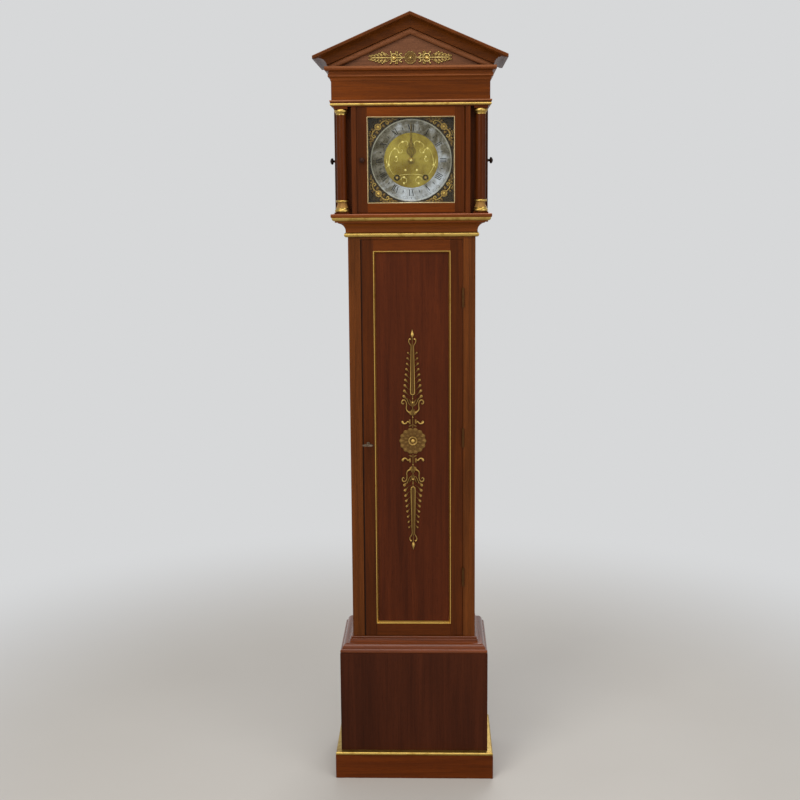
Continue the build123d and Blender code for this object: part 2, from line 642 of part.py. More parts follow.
cornice_outline = [
    (-BOARD, FRIEZE_TOP),
    (1.5, FRIEZE_TOP),
    (2, FRIEZE_TOP + 4),
    ((3.2, FRIEZE_TOP + 7.5), (6, FRIEZE_TOP + 9)),
    (7.5, FRIEZE_TOP + 9.5),
    (7.5, FRIEZE_TOP + 17),
    (5.5, FRIEZE_TOP + 18),
    (5.5, FRIEZE_TOP + 23),
    (14, FRIEZE_TOP + 24.5),
    ((15.5, FRIEZE_TOP + 26), (15.5, FRIEZE_TOP + 28)),
    (15.5, CORNICE_TOP),
    (-BOARD, CORNICE_TOP),
]
with BuildPart() as cornice_moulding:
    add(moulding(cornice_outline, FRIEZE_HALF, FRIEZE_FRONT, 20))
save(cornice_moulding, "cornice_moulding")

# Sloping cornice: (out, height square to the slope) outline, bead below, cove, fillet on top.
RAKE_OUT = 43.0
rake_bead = ((9.5, 7), (3, 14))
rake_outline = [
    (-BOARD, 0),
    (3, 0),
    rake_bead,
    (9.5, 15),
    ((17.5, 30), (35.5, 37)),
    (39, 38),
    (RAKE_OUT, 39.5),
    (RAKE_OUT, RAKE_HEIGHT),
    (-BOARD, RAKE_HEIGHT),
]


def at_eaves(point):
    """Place of a sloping outline's point on the mitre with the level side run."""
    out, height = point
    return (out, SOFFIT_APEX - (FRIEZE_HALF + out) * TAN + height / COS)


def pediment_runs():
    """The two sloping runs and the two level side runs of the pediment's cornice."""
    slope = Plane(origin=(0, FRIEZE_FRONT, SOFFIT_APEX), x_dir=(0, -1, 0), z_dir=(-COS, 0, SIN))
    with BuildPart() as sloping:
        with BuildSketch(slope):
            closed_outline(rake_outline)
        extrude(amount=FRIEZE_HALF / COS + 2 * RAKE_HEIGHT, both=True)
    side_outline = []
    for step in rake_outline:
        if step == rake_bead:  # the bead stops at the corner
            side_outline.append(at_eaves(step[1]))
        elif isinstance(step[0], tuple):
            side_outline.append((at_eaves(step[0]), at_eaves(step[1])))
        else:
            side_outline.append(at_eaves(step))
    with BuildPart() as level:
        with BuildSketch(Plane(origin=(FRIEZE_HALF, BACK, 0), x_dir=(1, 0, 0), z_dir=(0, -1, 0))):
            closed_outline(side_outline)
        extrude(amount=BACK - FRIEZE_FRONT + 60)
    corner = (FRIEZE_HALF, FRIEZE_FRONT, 0)
    front_run = cut_by(sloping.part, corner, (-1, -1, 0))
    front_run = cut_by(front_run, (0, 0, 0), (1, 0, 0))
    front_run = cut_by(front_run, (0, 0, CORNICE_TOP), (0, 0, 1))
    side_run = cut_by(level.part, corner, (1, 1, 0))
    side_run = cut_by(side_run, (0, 0, CORNICE_TOP), (0, 0, 1))
    return [front_run, mirrored(front_run, Plane.YZ), side_run, mirrored(side_run, Plane.YZ)]


with BuildPart() as raking_cornice:
    add(pediment_runs())
save(raking_cornice, "raking_cornice")

TYMPANUM_FACE = FRIEZE_FRONT + 4.5
TYMPANUM_THICK = 10.0
with BuildPart() as tympanum_board:
    low = CORNICE_TOP
    half = (SOFFIT_APEX - low) / TAN - 1
    with BuildSketch(facing(TYMPANUM_FACE + TYMPANUM_THICK)):
        with BuildLine():
            Polyline((-half, low), (half, low), (0, SOFFIT_APEX - TAN), close=True)
        make_face()
    extrude(amount=TYMPANUM_THICK)
save(tympanum_board, "tympanum_board")

ORNAMENT_Z = CORNICE_TOP + 21.0
ORNAMENT_THICK = 4.0
WING_REACH = 105.0
WING_RISE = 15.0
with BuildPart() as tympanum_ornament:
    with BuildSketch(facing(TYMPANUM_FACE, 0, ORNAMENT_Z)):
        Circle(WING_RISE + 2)
    extrude(amount=ORNAMENT_THICK)
    for sign in (-1, 1):
        root = sign * (WING_RISE + 4)
        crest = sign * 0.46 * WING_REACH
        tip = (sign * WING_REACH, -0.87 * WING_RISE)
        with BuildSketch(facing(TYMPANUM_FACE, 0, ORNAMENT_Z)) as wing:
            with BuildLine():
                ThreePointArc((root, -0.67 * WING_RISE), (sign * 0.57 * WING_REACH, -WING_RISE), tip)
                ThreePointArc(tip, (sign * 0.67 * WING_REACH, 0.13 * WING_RISE), (crest, WING_RISE))
                shoulder = (sign * 0.29 * WING_REACH, 0.87 * WING_RISE)
                ThreePointArc((crest, WING_RISE), shoulder, (root, 0.4 * WING_RISE))
                Line((root, 0.4 * WING_RISE), (root, -0.67 * WING_RISE))
            make_face()
        extrude(wing.sketch, amount=ORNAMENT_THICK)
save(tympanum_ornament, "tympanum_ornament")

ROOF_THICK = 8.0
ROOF_TOP = RAKE_HEIGHT - 3.0
with BuildPart() as roof_boards:
    ridge = SOFFIT_APEX + ROOF_TOP / COS
    drop = ROOF_THICK / COS
    reach = FRIEZE_HALF - BOARD - GLUE
    for sign in (-1, 1):
        with BuildSketch(facing(BACK)) as roof:
            with BuildLine():
                Polyline(
                    (sign * GLUE, ridge),
                    (sign * reach, ridge - reach * TAN),
                    (sign * reach, ridge - reach * TAN - drop),
                    (sign * GLUE, ridge - drop),
                    close=True,
                )
            make_face()
        extrude(roof.sketch, amount=BACK - FRIEZE_FRONT - BOARD)
    gable = SOFFIT_APEX + (ROOF_TOP - ROOF_THICK) / COS - 0.2
    with BuildSketch(facing(BACK)) as back_gable:
        with BuildLine():
            Polyline(
                (-reach, CORNICE_TOP + GLUE),
                (reach, CORNICE_TOP + GLUE),
                (reach, gable - reach * TAN),
                (0, gable),
                (-reach, gable - reach * TAN),
                close=True,
            )
        make_face()
    extrude(back_gable.sketch, amount=THIN_BOARD)
save(roof_boards, "roof_boards")

# ---------------------------------------------------------------- gilt beads of the case
plinth_bead = [
    (0, PLINTH_TOP),
    (12.5, PLINTH_TOP),
    ((14.6, PLINTH_TOP + 4), (11, PLINTH_TOP + 8)),
    (0, PLINTH_TOP + 9.5),
]
throat_bead = [
    (0, THROAT_BOTTOM),
    (4, THROAT_BOTTOM),
    ((9.3, (THROAT_BOTTOM + COVE_BOTTOM) / 2), (4, COVE_BOTTOM - GLUE)),
    (0, COVE_BOTTOM - GLUE),
]
hood_base_bead = [
    (BED_OUT + GLUE, BEAD_SEAT),
    (BED_OUT + 2, BEAD_SEAT),
    ((BED_OUT + 6.3, BEAD_SEAT + 3.2), (BED_OUT + 7.6, BEAD_TOP - GLUE)),
    (BED_OUT + GLUE, BEAD_TOP - GLUE),
]
architrave_bead = [
    (GLUE, GILT_LOW),
    (1.2, GILT_LOW),
    ((3.6, (GILT_LOW + GILT_HIGH) / 2), (1.5, GILT_HIGH - GLUE)),
    (GLUE, GILT_HIGH - GLUE),
]
with BuildPart() as gilt_beads:
    add(moulding(plinth_bead, BASE_HALF, BASE_FRONT, 20))
    add(moulding(throat_bead, TRUNK_HALF, TRUNK_FRONT, 20))
    add(moulding(hood_base_bead, TRUNK_HALF, TRUNK_FRONT, 50))
    add(moulding(architrave_bead, FRIEZE_HALF, FRIEZE_FRONT, 10))
save(gilt_beads, "gilt_beads")

# ---------------------------------------------------------------- hinges that belong to the case
LEAF = 0.42  # thickness of a hinge leaf; two of them fit in the door's gap
LEAF_BACK = TRUNK_FRONT + 15.0
PIN_RADIUS = 1.5


def hinge_leaf(sign, middle, knuckles):
    """Leaf in the gap beside the trunk door with the given knuckles (low, high)."""
    near = HINGE_X + sign * 0.03
    far = near + sign * LEAF
    x0 = min(near, far)
    x1 = max(near, far)
    board(x0, x1, TRUNK_FRONT + 0.3, LEAF_BACK, middle - HINGE_HALF, middle + HINGE_HALF)
    for low, high in knuckles:
        board(x0, x1, HINGE_Y, TRUNK_FRONT + 1, middle + low, middle + high)
        rod(HINGE_X, HINGE_Y, middle + low, middle + high, KNUCKLE_RADIUS)


KNUCKLE_SPLIT = 9.0  # the door's knuckle reaches this far up and down
KNUCKLE_GAP = 0.2
HOOD_PIVOT_X = HOOD_DOOR_HALF - PIVOT_IN
HOOD_PIVOT_Y = HOOD_DOOR_FRONT + PIVOT_IN
SIDE_PIVOT_X = HOOD_HALF - PIVOT_IN
SIDE_PIVOT_Y = SIDE_DOOR_BACK - PIVOT_IN


def pivot(x, y, seat, up):
    """Small plate on a rail with a pin that a door turns on; up is 1 or -1."""
    plate = seat + up * PLATE_SEAT
    tip = seat + up * PIVOT_LENGTH
    board(x - 4, x + 4, y - 4, y + 4, min(seat, plate), max(seat, plate))
    rod(x, y, min(seat, tip), max(seat, tip), PIVOT_RADIUS)


with BuildPart() as case_hinges:
    for middle in HINGE_Z:
        outer = [
            (-HINGE_HALF, -KNUCKLE_SPLIT - KNUCKLE_GAP),
            (KNUCKLE_SPLIT + KNUCKLE_GAP, HINGE_HALF),
        ]
        hinge_leaf(1, middle, outer)
        rod(HINGE_X, HINGE_Y, middle - HINGE_HALF, middle + HINGE_HALF, PIN_RADIUS)
    pivot(HOOD_PIVOT_X, HOOD_PIVOT_Y, SILL_TOP, 1)
    pivot(HOOD_PIVOT_X, HOOD_PIVOT_Y, BEAM_BOTTOM, -1)
    for sign in (-1, 1):
        pivot(sign * SIDE_PIVOT_X, SIDE_PIVOT_Y, SIDE_DOOR_BOTTOM - DOOR_GAP, 1)
        pivot(sign * SIDE_PIVOT_X, SIDE_PIVOT_Y, SIDE_DOOR_TOP + DOOR_GAP, -1)
save(case_hinges, "case_hinges")

# ---------------------------------------------------------------- dial
DIAL_BACK = DIAL_FACE + DIAL_THICK
DIAL_BORE = 7.0
with BuildPart() as dial_plate:
    low = DIAL_Z - DIAL_HALF
    board(-DIAL_HALF, DIAL_HALF, DIAL_FACE, DIAL_BACK, low, low + 2 * DIAL_HALF)
    foot_x = PLATE_HALF - 14
    foot_z = PLATE_RISE - 22
    for x in (-foot_x, foot_x):
        for z in (DIAL_Z - foot_z, DIAL_Z + foot_z):
            disc(x, z, DIAL_BACK, FRONT_PLATE, 4)
    disc(0, DIAL_Z, DIAL_FACE, DIAL_BACK, DIAL_BORE, mode=Mode.SUBTRACT)
    for x in (-WINDING_X, WINDING_X):
        disc(x, WINDING_Z, DIAL_FACE, DIAL_BACK, WINDING_HOLE, mode=Mode.SUBTRACT)
save(dial_plate, "dial_plate")

with BuildPart() as chapter_ring:
    disc(0, DIAL_Z, DIAL_FACE - 2, DIAL_FACE, RING_OUTER, RING_INNER)
save(chapter_ring, "chapter_ring")

with BuildPart() as dial_centre_disc:
    disc(0, DIAL_Z, DIAL_FACE - 1, DIAL_FACE, RING_INNER - CLEAR, DIAL_BORE)
    for x in (-WINDING_X, WINDING_X):
        disc(x, WINDING_Z, DIAL_FACE - 1, DIAL_FACE, WINDING_HOLE, mode=Mode.SUBTRACT)
save(dial_centre_disc, "dial_centre_disc")

SPANDREL = 52.0
SPANDREL_THICK = 2.5
with BuildPart() as dial_spandrels:
    edge = MASK_OPENING
    with BuildSketch(facing(DIAL_FACE, 0, DIAL_Z)):
        for sign_x in (-1, 1):
            for sign_z in (-1, 1):
                with Locations((sign_x * (edge - SPANDREL / 2), sign_z * (edge - SPANDREL / 2))):
                    Rectangle(SPANDREL, SPANDREL)
        Circle(RING_OUTER + 1, mode=Mode.SUBTRACT)
    extrude(amount=SPANDREL_THICK)
save(dial_spandrels, "dial_spandrels")

# ---------------------------------------------------------------- movement frame
def line_x(sign):
    """Each line leaves its barrel on the left, so the weight turns it anticlockwise."""
    return sign * WINDING_X - BARREL_RADIUS - LINE_RADIUS


with BuildPart() as seat_board:
    board(-TRUNK_HALF, TRUNK_HALF, SEAT_FRONT, SEAT_BACK, SEAT_TOP - SEAT_THICK, SEAT_TOP)
    for sign in (-1, 1):
        rod(line_x(sign), LINE_Y, SEAT_TOP - SEAT_THICK, SEAT_TOP, 7, mode=Mode.SUBTRACT)
save(seat_board, "seat_board")

PIVOTS = (
    (0, DIAL_Z, CENTRE_ARBOR),
    (WINDING_X, WINDING_Z, BARREL_ARBOR),
    (-WINDING_X, WINDING_Z, BARREL_ARBOR),
    (THIRD_X, THIRD_Z, ARBOR),
    (0, ESCAPE_Z, ARBOR),
    (0, ANCHOR_Z, ARBOR),
    (HAMMER_X, HAMMER_Z, ARBOR),
)
COCK_TOP = ANCHOR_Z + 16.0
with BuildPart() as movement_frame:
    board(-PLATE_HALF, PLATE_HALF, FRONT_PLATE, FRONT_PLATE + PLATE_THICK, SEAT_TOP, PLATE_TOP)
    board(-PLATE_HALF, PLATE_HALF, BACK_PLATE, BACK_FACE, SEAT_TOP, PLATE_TOP)
    pillar_x = PLATE_HALF - 10
    for x in (-pillar_x, pillar_x):
        for z in (SEAT_TOP + 12, PLATE_TOP - 14):
            disc(x, z, FRONT_PLATE + PLATE_THICK, BACK_PLATE, 5)
    for x, z, radius in PIVOTS:
        disc(x, z, FRONT_PLATE, BACK_FACE, radius + RUNNING, mode=Mode.SUBTRACT)
    disc(0, MINUTE_Z, FRONT_PLATE - 11, FRONT_PLATE, STUD_RADIUS)
    board(-10, 10, BACK_FACE, PENDULUM_Y + 7, ANCHOR_Z + 8, COCK_TOP)
    board(-6, 6, PENDULUM_Y - 7, PENDULUM_Y - 3.5, ANCHOR_Z - 4, ANCHOR_Z + 8)
    board(-6, 6, PENDULUM_Y + 3.5, PENDULUM_Y + 7, ANCHOR_Z - 4, ANCHOR_Z + 8)
    disc(0, ANCHOR_Z, PENDULUM_Y - 7, PENDULUM_Y + 7, PIVOT_RADIUS)
save(movement_frame, "movement_frame")

with BuildPart() as bell:
    shell = [
        (0, BELL_RIM + BELL_HEIGHT),
        ((BELL_RADIUS - 12, BELL_RIM + BELL_HEIGHT - 10), (BELL_RADIUS, BELL_RIM)),
        (BELL_RADIUS - 2.5, BELL_RIM),
        ((BELL_RADIUS - 14, BELL_RIM + BELL_HEIGHT - 12), (0, BELL_RIM + BELL_HEIGHT - 3)),
    ]
    turned(BELL_X, BELL_Y, shell)
    rod(BELL_X, BELL_Y, PLATE_TOP, BELL_RIM + BELL_HEIGHT + 2, 2.5)
    board(BELL_X - 6, BELL_X + 6, BELL_Y - 6, BACK_FACE, PLATE_TOP, PLATE_TOP + 3)
save(bell, "bell")

# ---------------------------------------------------------------- trains
GREAT_ANGLE = math.degrees(math.atan2(DIAL_Z - WINDING_Z, -WINDING_X))
THIRD_ANGLE = math.degrees(math.atan2(THIRD_Z - DIAL_Z, THIRD_X))
ESCAPE_ANGLE = math.degrees(math.atan2(ESCAPE_Z - THIRD_Z, -THIRD_X))


def gap_at(angle, teeth):
    """Angle of a tooth on a wheel that shows a gap at the given angle."""
    return angle + 180.0 / teeth


with BuildPart() as going_great_wheel:
    great_tip = GREAT_MODULE * GREAT_TEETH / 2
    front = FRONT_PLATE + 6
    back = front + 3
    gear(WINDING_X, WINDING_Z, front, back, GREAT_TEETH, GREAT_MODULE, GREAT_ANGLE)
    crossings(WINDING_X, WINDING_Z, front, back, 14, great_tip - 8, 5)
    disc(WINDING_X, WINDING_Z, front - 2.8, back + 0.8, 9)
    disc(WINDING_X, WINDING_Z, front - 3, back + 1, BARREL_ARBOR + RUNNING, mode=Mode.SUBTRACT)
save(going_great_wheel, "going_great_wheel")

MINUTE_SEAT = DIAL_FACE - 6.0  # the minute hand sits here on its arbor
CANNON_BACK = FRONT_PLATE - 2.0
with BuildPart() as centre_wheel:
    disc(0, DIAL_Z, MINUTE_SEAT, BACK_FACE, CENTRE_ARBOR)
    pinion_turn = gap_at(GREAT_ANGLE + 180, CENTRE_PINION_TEETH)
    front = FRONT_PLATE + 4.5
    gear(0, DIAL_Z, front, front + 6, CENTRE_PINION_TEETH, GREAT_MODULE, pinion_turn, leaves=True)
    wheel = FRONT_PLATE + 40
    gear(0, DIAL_Z, wheel, wheel + 2, CENTRE_TEETH, TRAIN_MODULE, THIRD_ANGLE)
    crossings(0, DIAL_Z, wheel, wheel + 2, 7, 17, 4)
    gear(0, DIAL_Z, CANNON_BACK - 2, CANNON_BACK, CANNON_TEETH, CANNON_MODULE, -90)
    disc(0, DIAL_Z, MINUTE_SEAT, CANNON_BACK - 2, CANNON_RADIUS)
save(centre_wheel, "centre_wheel")

with BuildPart() as third_wheel:
    disc(THIRD_X, THIRD_Z, FRONT_PLATE, BACK_FACE, ARBOR)
    third_turn = gap_at(THIRD_ANGLE + 180, THIRD_PINION_TEETH)
    front = FRONT_PLATE + 38.5
    gear(THIRD_X, THIRD_Z, front, front + 5, THIRD_PINION_TEETH, TRAIN_MODULE, third_turn, leaves=True)
    wheel = FRONT_PLATE + 22
    gear(THIRD_X, THIRD_Z, wheel, wheel + 2, THIRD_TEETH, TRAIN_MODULE, ESCAPE_ANGLE)
    crossings(THIRD_X, THIRD_Z, wheel, wheel + 2, 6, 16, 4)
save(third_wheel, "third_wheel")

ESCAPE_BACK = FRONT_PLATE + 13.3
with BuildPart() as escape_wheel:
    disc(0, ESCAPE_Z, FRONT_PLATE, BACK_FACE, ARBOR)
    escape_turn = gap_at(ESCAPE_ANGLE + 180, ESCAPE_PINION_TEETH)
    front = FRONT_PLATE + 20.5
    gear(0, ESCAPE_Z, front, front + 5, ESCAPE_PINION_TEETH, TRAIN_MODULE, escape_turn, leaves=True)
    saw = []
    for tooth in range(ESCAPE_TEETH):
        root = (ESCAPE_RADIUS - 3, 0.0)
        for radius, share in (root, (ESCAPE_RADIUS, 0.85), (ESCAPE_RADIUS, 0.95)):
            bearing = 2 * math.pi * (tooth + share) / ESCAPE_TEETH
            saw.append((radius * math.cos(bearing), radius * math.sin(bearing)))
    with BuildSketch(facing(ESCAPE_BACK, 0, ESCAPE_Z)):
        with BuildLine():
            Polyline(*saw, close=True)
        make_face()
    extrude(amount=1.5)
    crossings(0, ESCAPE_Z, ESCAPE_BACK - 1.5, ESCAPE_BACK, 6, 14, 4)
save(escape_wheel, "escape_wheel")

FORK_Z = ANCHOR_Z - CRUTCH_LENGTH
CRUTCH_FRONT = BACK_FACE + 8.0
CRUTCH_BACK = CRUTCH_FRONT + 3.0
with BuildPart() as anchor:
    disc(0, ANCHOR_Z, FRONT_PLATE, CRUTCH_BACK, ARBOR)
    pallet_back = ESCAPE_BACK + 2.7
    disc(0, ANCHOR_Z, pallet_back - 6, pallet_back, 5)
    with BuildSketch(facing(pallet_back, 0, ESCAPE_Z)) as pallets:
        Circle(ESCAPE_RADIUS + 5)
        Circle(ESCAPE_RADIUS + 1.6, mode=Mode.SUBTRACT)
        far = 2 * ESCAPE_RADIUS
        with BuildLine():
            Polyline((0, 0), (far, far), (far, -far), (-far, -far), (-far, far), close=True)
        make_face(mode=Mode.SUBTRACT)
    extrude(pallets.sketch, amount=6)
    board(-2.5, 2.5, CRUTCH_FRONT, CRUTCH_BACK, FORK_Z - 2, ANCHOR_Z)
    board(-6, 6, CRUTCH_FRONT, CRUTCH_BACK + 3, FORK_Z - 2, FORK_Z + 2)
    for x0, x1 in ((-6, -ROD_RADIUS - CLEAR), (ROD_RADIUS + CLEAR, 6)):
        board(x0, x1, CRUTCH_BACK + 2, PENDULUM_Y + 8, FORK_Z - 2, FORK_Z + 2)
save(anchor, "anchor")


def barrel(sign, front, back):
    """Barrel with its flanges, arbor and winding square, the drum lying between front and back."""
    x = sign * WINDING_X
    disc(x, WINDING_Z, front, back, BARREL_RADIUS)
    disc(x, WINDING_Z, front - 2, front, BARREL_RADIUS + FLANGE)
    disc(x, WINDING_Z, back, back + 2, BARREL_RADIUS + FLANGE)
    square_back = FRONT_PLATE - 16
    disc(x, WINDING_Z, square_back - 2, BACK_FACE, BARREL_ARBOR)
    side = 2.5
    board(x - side, x + side, DIAL_FACE - side, square_back, WINDING_Z - side, WINDING_Z + side)


with BuildPart() as going_barrel:
    barrel(1, FRONT_PLATE + 12, FRONT_PLATE + 46)
save(going_barrel, "going_barrel")

with BuildPart() as strike_barrel:
    barrel(-1, FRONT_PLATE + 12, FRONT_PLATE + 40)
save(strike_barrel, "strike_barrel")

STRIKE_TEETH = 78
STRIKE_MODULE = 0.75
LIFT_PINS = 8
LIFT_RADIUS = 24.0
STRIKE_FRONT = BACK_PLATE - 6.0
with BuildPart() as strike_great_wheel:
    gear(-WINDING_X, WINDING_Z, STRIKE_FRONT, STRIKE_FRONT + 3, STRIKE_TEETH, STRIKE_MODULE, 0)
    crossings(-WINDING_X, WINDING_Z, STRIKE_FRONT, STRIKE_FRONT + 3, 11, LIFT_RADIUS - 3, 4)
    hub_back = BACK_PLATE - 0.2
    disc(-WINDING_X, WINDING_Z, STRIKE_FRONT - 2.8, hub_back, 8)
    bore = BARREL_ARBOR + RUNNING
    disc(-WINDING_X, WINDING_Z, STRIKE_FRONT - 3, BACK_PLATE, bore, mode=Mode.SUBTRACT)
    for pin in range(LIFT_PINS):
        bearing = 2 * math.pi * pin / LIFT_PINS
        pin_x = -WINDING_X + LIFT_RADIUS * math.cos(bearing)
        pin_z = WINDING_Z + LIFT_RADIUS * math.sin(bearing)
        disc(pin_x, pin_z, STRIKE_FRONT - 2.6, STRIKE_FRONT + 0.5, 1.2)
save(strike_great_wheel, "strike_great_wheel")

with BuildPart() as strike_hammer:
    head_z = BELL_RIM + 8
    head_front = BELL_X + BELL_RADIUS + HAMMER_REST
    disc(HAMMER_X, HAMMER_Z, FRONT_PLATE, BACK_FACE, ARBOR)
    board(HAMMER_X - 1.5, HAMMER_X + 1.5, BELL_Y - 1.5, BELL_Y + 1.5, HAMMER_Z, head_z)
    with BuildSketch(Plane(origin=(head_front, BELL_Y, head_z), z_dir=(1, 0, 0))):
        Circle(4)
    extrude(amount=HAMMER_LENGTH)
    tail_end = WINDING_Z + LIFT_RADIUS + 3.5
    tail_back = STRIKE_FRONT - 0.4
    with BuildSketch(facing(tail_back, HAMMER_X, (HAMMER_Z + tail_end) / 2)) as tail:
        SlotCenterToCenter(HAMMER_Z - tail_end, 3, rotation=90)
    extrude(tail.sketch, amount=2)
save(strike_hammer, "strike_hammer")

# ---------------------------------------------------------------- motion work and hands
with BuildPart() as minute_wheel:
    minute_turn = gap_at(90, MINUTE_TEETH)
    bore = STUD_RADIUS + RUNNING
    front = CANNON_BACK - 2
    gear(0, MINUTE_Z, front, CANNON_BACK, MINUTE_TEETH, CANNON_MODULE, minute_turn, bore)
    gear(0, MINUTE_Z, front - 6, front, MINUTE_PINION_TEETH, HOUR_MODULE, 90, bore)
save(minute_wheel, "minute_wheel")

HAND_THICK = 1.2
HOUR_SEAT = DIAL_FACE - 3.4  # the hour hand sits here on its pipe
PIPE_RADIUS = 5.5
with BuildPart() as hour_wheel:
    front = CANNON_BACK - 7
    bore = CANNON_RADIUS + RUNNING
    gear(0, DIAL_Z, front, front + 2, HOUR_TEETH, HOUR_MODULE, gap_at(-90, HOUR_TEETH), bore)
    disc(0, DIAL_Z, HOUR_SEAT, front, PIPE_RADIUS, bore)
save(hour_wheel, "hour_wheel")

HOUR_REACH = RING_INNER - 7.5
with BuildPart() as hour_hand:
    disc(0, DIAL_Z, HOUR_SEAT - HAND_THICK, HOUR_SEAT, 9, CANNON_RADIUS + CLEAR)
    with BuildSketch(facing(HOUR_SEAT, 0, DIAL_Z)) as blade:
        with BuildLine():
            waist = HOUR_REACH - 20
            Polyline((-2, 8), (2, 8), (3.5, waist), (0, HOUR_REACH), (-3.5, waist), close=True)
        make_face()
    extrude(blade.sketch, amount=HAND_THICK)
save(hour_hand, "hour_hand")

MINUTE_REACH = RING_OUTER - 8
with BuildPart() as minute_hand:
    disc(0, DIAL_Z, MINUTE_SEAT - HAND_THICK, MINUTE_SEAT, 7)
    disc(0, DIAL_Z, MINUTE_SEAT - 3, MINUTE_SEAT - HAND_THICK, 3)
    with BuildSketch(facing(MINUTE_SEAT, 0, DIAL_Z)) as pointer:
        with BuildLine():
            waist = MINUTE_REACH - 37
            Polyline((-1.6, 5), (1.6, 5), (2.4, waist), (0, MINUTE_REACH), (-2.4, waist), close=True)
        make_face()
    extrude(pointer.sketch, amount=HAND_THICK)
save(minute_hand, "minute_hand")

# ---------------------------------------------------------------- pendulum
BOB_BOTTOM = BOB_Z - BOB_RADIUS - 6
NUT_HEIGHT = 8.0
NUT_RADIUS = 11.0
with BuildPart() as pendulum_rod:
    disc(0, ANCHOR_Z, PENDULUM_Y - 3, PENDULUM_Y + 3, 5)
    rod_top = ANCHOR_Z - SPRING_LENGTH + 4
    board(-3, 3, PENDULUM_Y - 0.5, PENDULUM_Y + 0.5, ANCHOR_Z - SPRING_LENGTH, ANCHOR_Z - 3)
    rod(0, PENDULUM_Y, BOB_BOTTOM - NUT_HEIGHT - 16, rod_top, ROD_RADIUS)
    disc(0, ANCHOR_Z, PENDULUM_Y - 4, PENDULUM_Y + 4, PIVOT_RADIUS + RUNNING, mode=Mode.SUBTRACT)
save(pendulum_rod, "pendulum_rod")

with BuildPart() as pendulum_bob:
    with BuildSketch(Plane(origin=(0, PENDULUM_Y, BOB_Z), x_dir=(1, 0, 0), z_dir=(0, 0, 1))):
        crown, top = dome((BOB_RADIUS, BOB_RIM), BOB_HALF_THICK)
        closed_outline(
            [
                (0, -BOB_HALF_THICK),
                ((crown[0], -crown[1]), (BOB_RADIUS, -BOB_RIM)),
                (BOB_RADIUS, BOB_RIM),
                (crown, top),
            ]
        )
    revolve(axis=Axis((0, PENDULUM_Y, BOB_Z), (0, 1, 0)))
    rod(0, PENDULUM_Y, BOB_BOTTOM, BOB_Z, 6)
    bob_top = BOB_Z + BOB_RADIUS + 1
    rod(0, PENDULUM_Y, BOB_BOTTOM - 1, bob_top, ROD_RADIUS + CLEAR, mode=Mode.SUBTRACT)
save(pendulum_bob, "pendulum_bob")

with BuildPart() as rating_nut:
    rod(0, PENDULUM_Y, BOB_BOTTOM - NUT_HEIGHT, BOB_BOTTOM, NUT_RADIUS, ROD_RADIUS + RUNNING)
save(rating_nut, "rating_nut")


# ---------------------------------------------------------------- weights and lines
def weight(sign):
    """Driving weight with a domed top and the loop that its line is tied to."""
    top = WEIGHT_BOTTOM + WEIGHT_HEIGHT
    outline = [
        (0, WEIGHT_BOTTOM),
        (WEIGHT_RADIUS, WEIGHT_BOTTOM),
        (WEIGHT_RADIUS, top - 8),
        ((WEIGHT_RADIUS * 0.8, top - 2), (3, top)),
        (3, HOOK_TOP),
        (0, HOOK_TOP),
    ]
    turned(line_x(sign), LINE_Y, outline)


with BuildPart() as going_weight:
    weight(1)
save(going_weight, "going_weight")

with BuildPart() as strike_weight:
    weight(-1)
save(strike_weight, "strike_weight")

with BuildPart() as going_line:
    rod(line_x(1), LINE_Y, HOOK_TOP, WINDING_Z, LINE_RADIUS)
save(going_line, "going_line")

with BuildPart() as strike_line:
    rod(line_x(-1), LINE_Y, HOOK_TOP, WINDING_Z, LINE_RADIUS)
save(strike_line, "strike_line")

# ---------------------------------------------------------------- trunk door
OPENING_HALF = TRUNK_DOOR_HALF - TRUNK_STILE
OPENING_LOW = TRUNK_DOOR_BOTTOM + TRUNK_BOTTOM_RAIL
OPENING_HIGH = TRUNK_DOOR_TOP - TRUNK_TOP_RAIL
DOOR_BACK = TRUNK_FRONT + TRUNK_DOOR_THICK
with BuildPart() as trunk_door_frame:
    for side in (-1, 1):
        inner = side * OPENING_HALF
        outer = side * TRUNK_DOOR_HALF
        x0 = min(inner, outer)
        x1 = max(inner, outer)
        board(x0, x1, TRUNK_FRONT, DOOR_BACK, TRUNK_DOOR_BOTTOM, TRUNK_DOOR_TOP)
    rail = OPENING_HALF - GLUE
    board(-rail, rail, TRUNK_FRONT, DOOR_BACK, TRUNK_DOOR_BOTTOM, OPENING_LOW)
    board(-rail, rail, TRUNK_FRONT, DOOR_BACK, OPENING_HIGH, TRUNK_DOOR_TOP)
    disc(KEY_X, KEY_Z, TRUNK_FRONT, DOOR_BACK, KEY_RADIUS + CLEAR, mode=Mode.SUBTRACT)
save(trunk_door_frame, "trunk_door_frame")

with BuildPart() as trunk_door_panel:
    panel_back = PANEL_FACE + PANEL_THICK
    board(-OPENING_HALF, OPENING_HALF, PANEL_FACE, panel_back, OPENING_LOW, OPENING_HIGH)
save(trunk_door_panel, "trunk_door_panel")

bead_height = PANEL_IN + 0.5
trunk_bead_outline = [
    (0, 0),
    (5, 0),
    (5, 1.2),
    ((3.2, bead_height - 3.2), (1.4, bead_height)),
    (0, bead_height),
]
with BuildPart() as trunk_door_gilt_bead:
    add(frame_bead(trunk_bead_outline, OPENING_HALF, OPENING_LOW, OPENING_HIGH, PANEL_FACE))
save(trunk_door_gilt_bead, "trunk_door_gilt_bead")

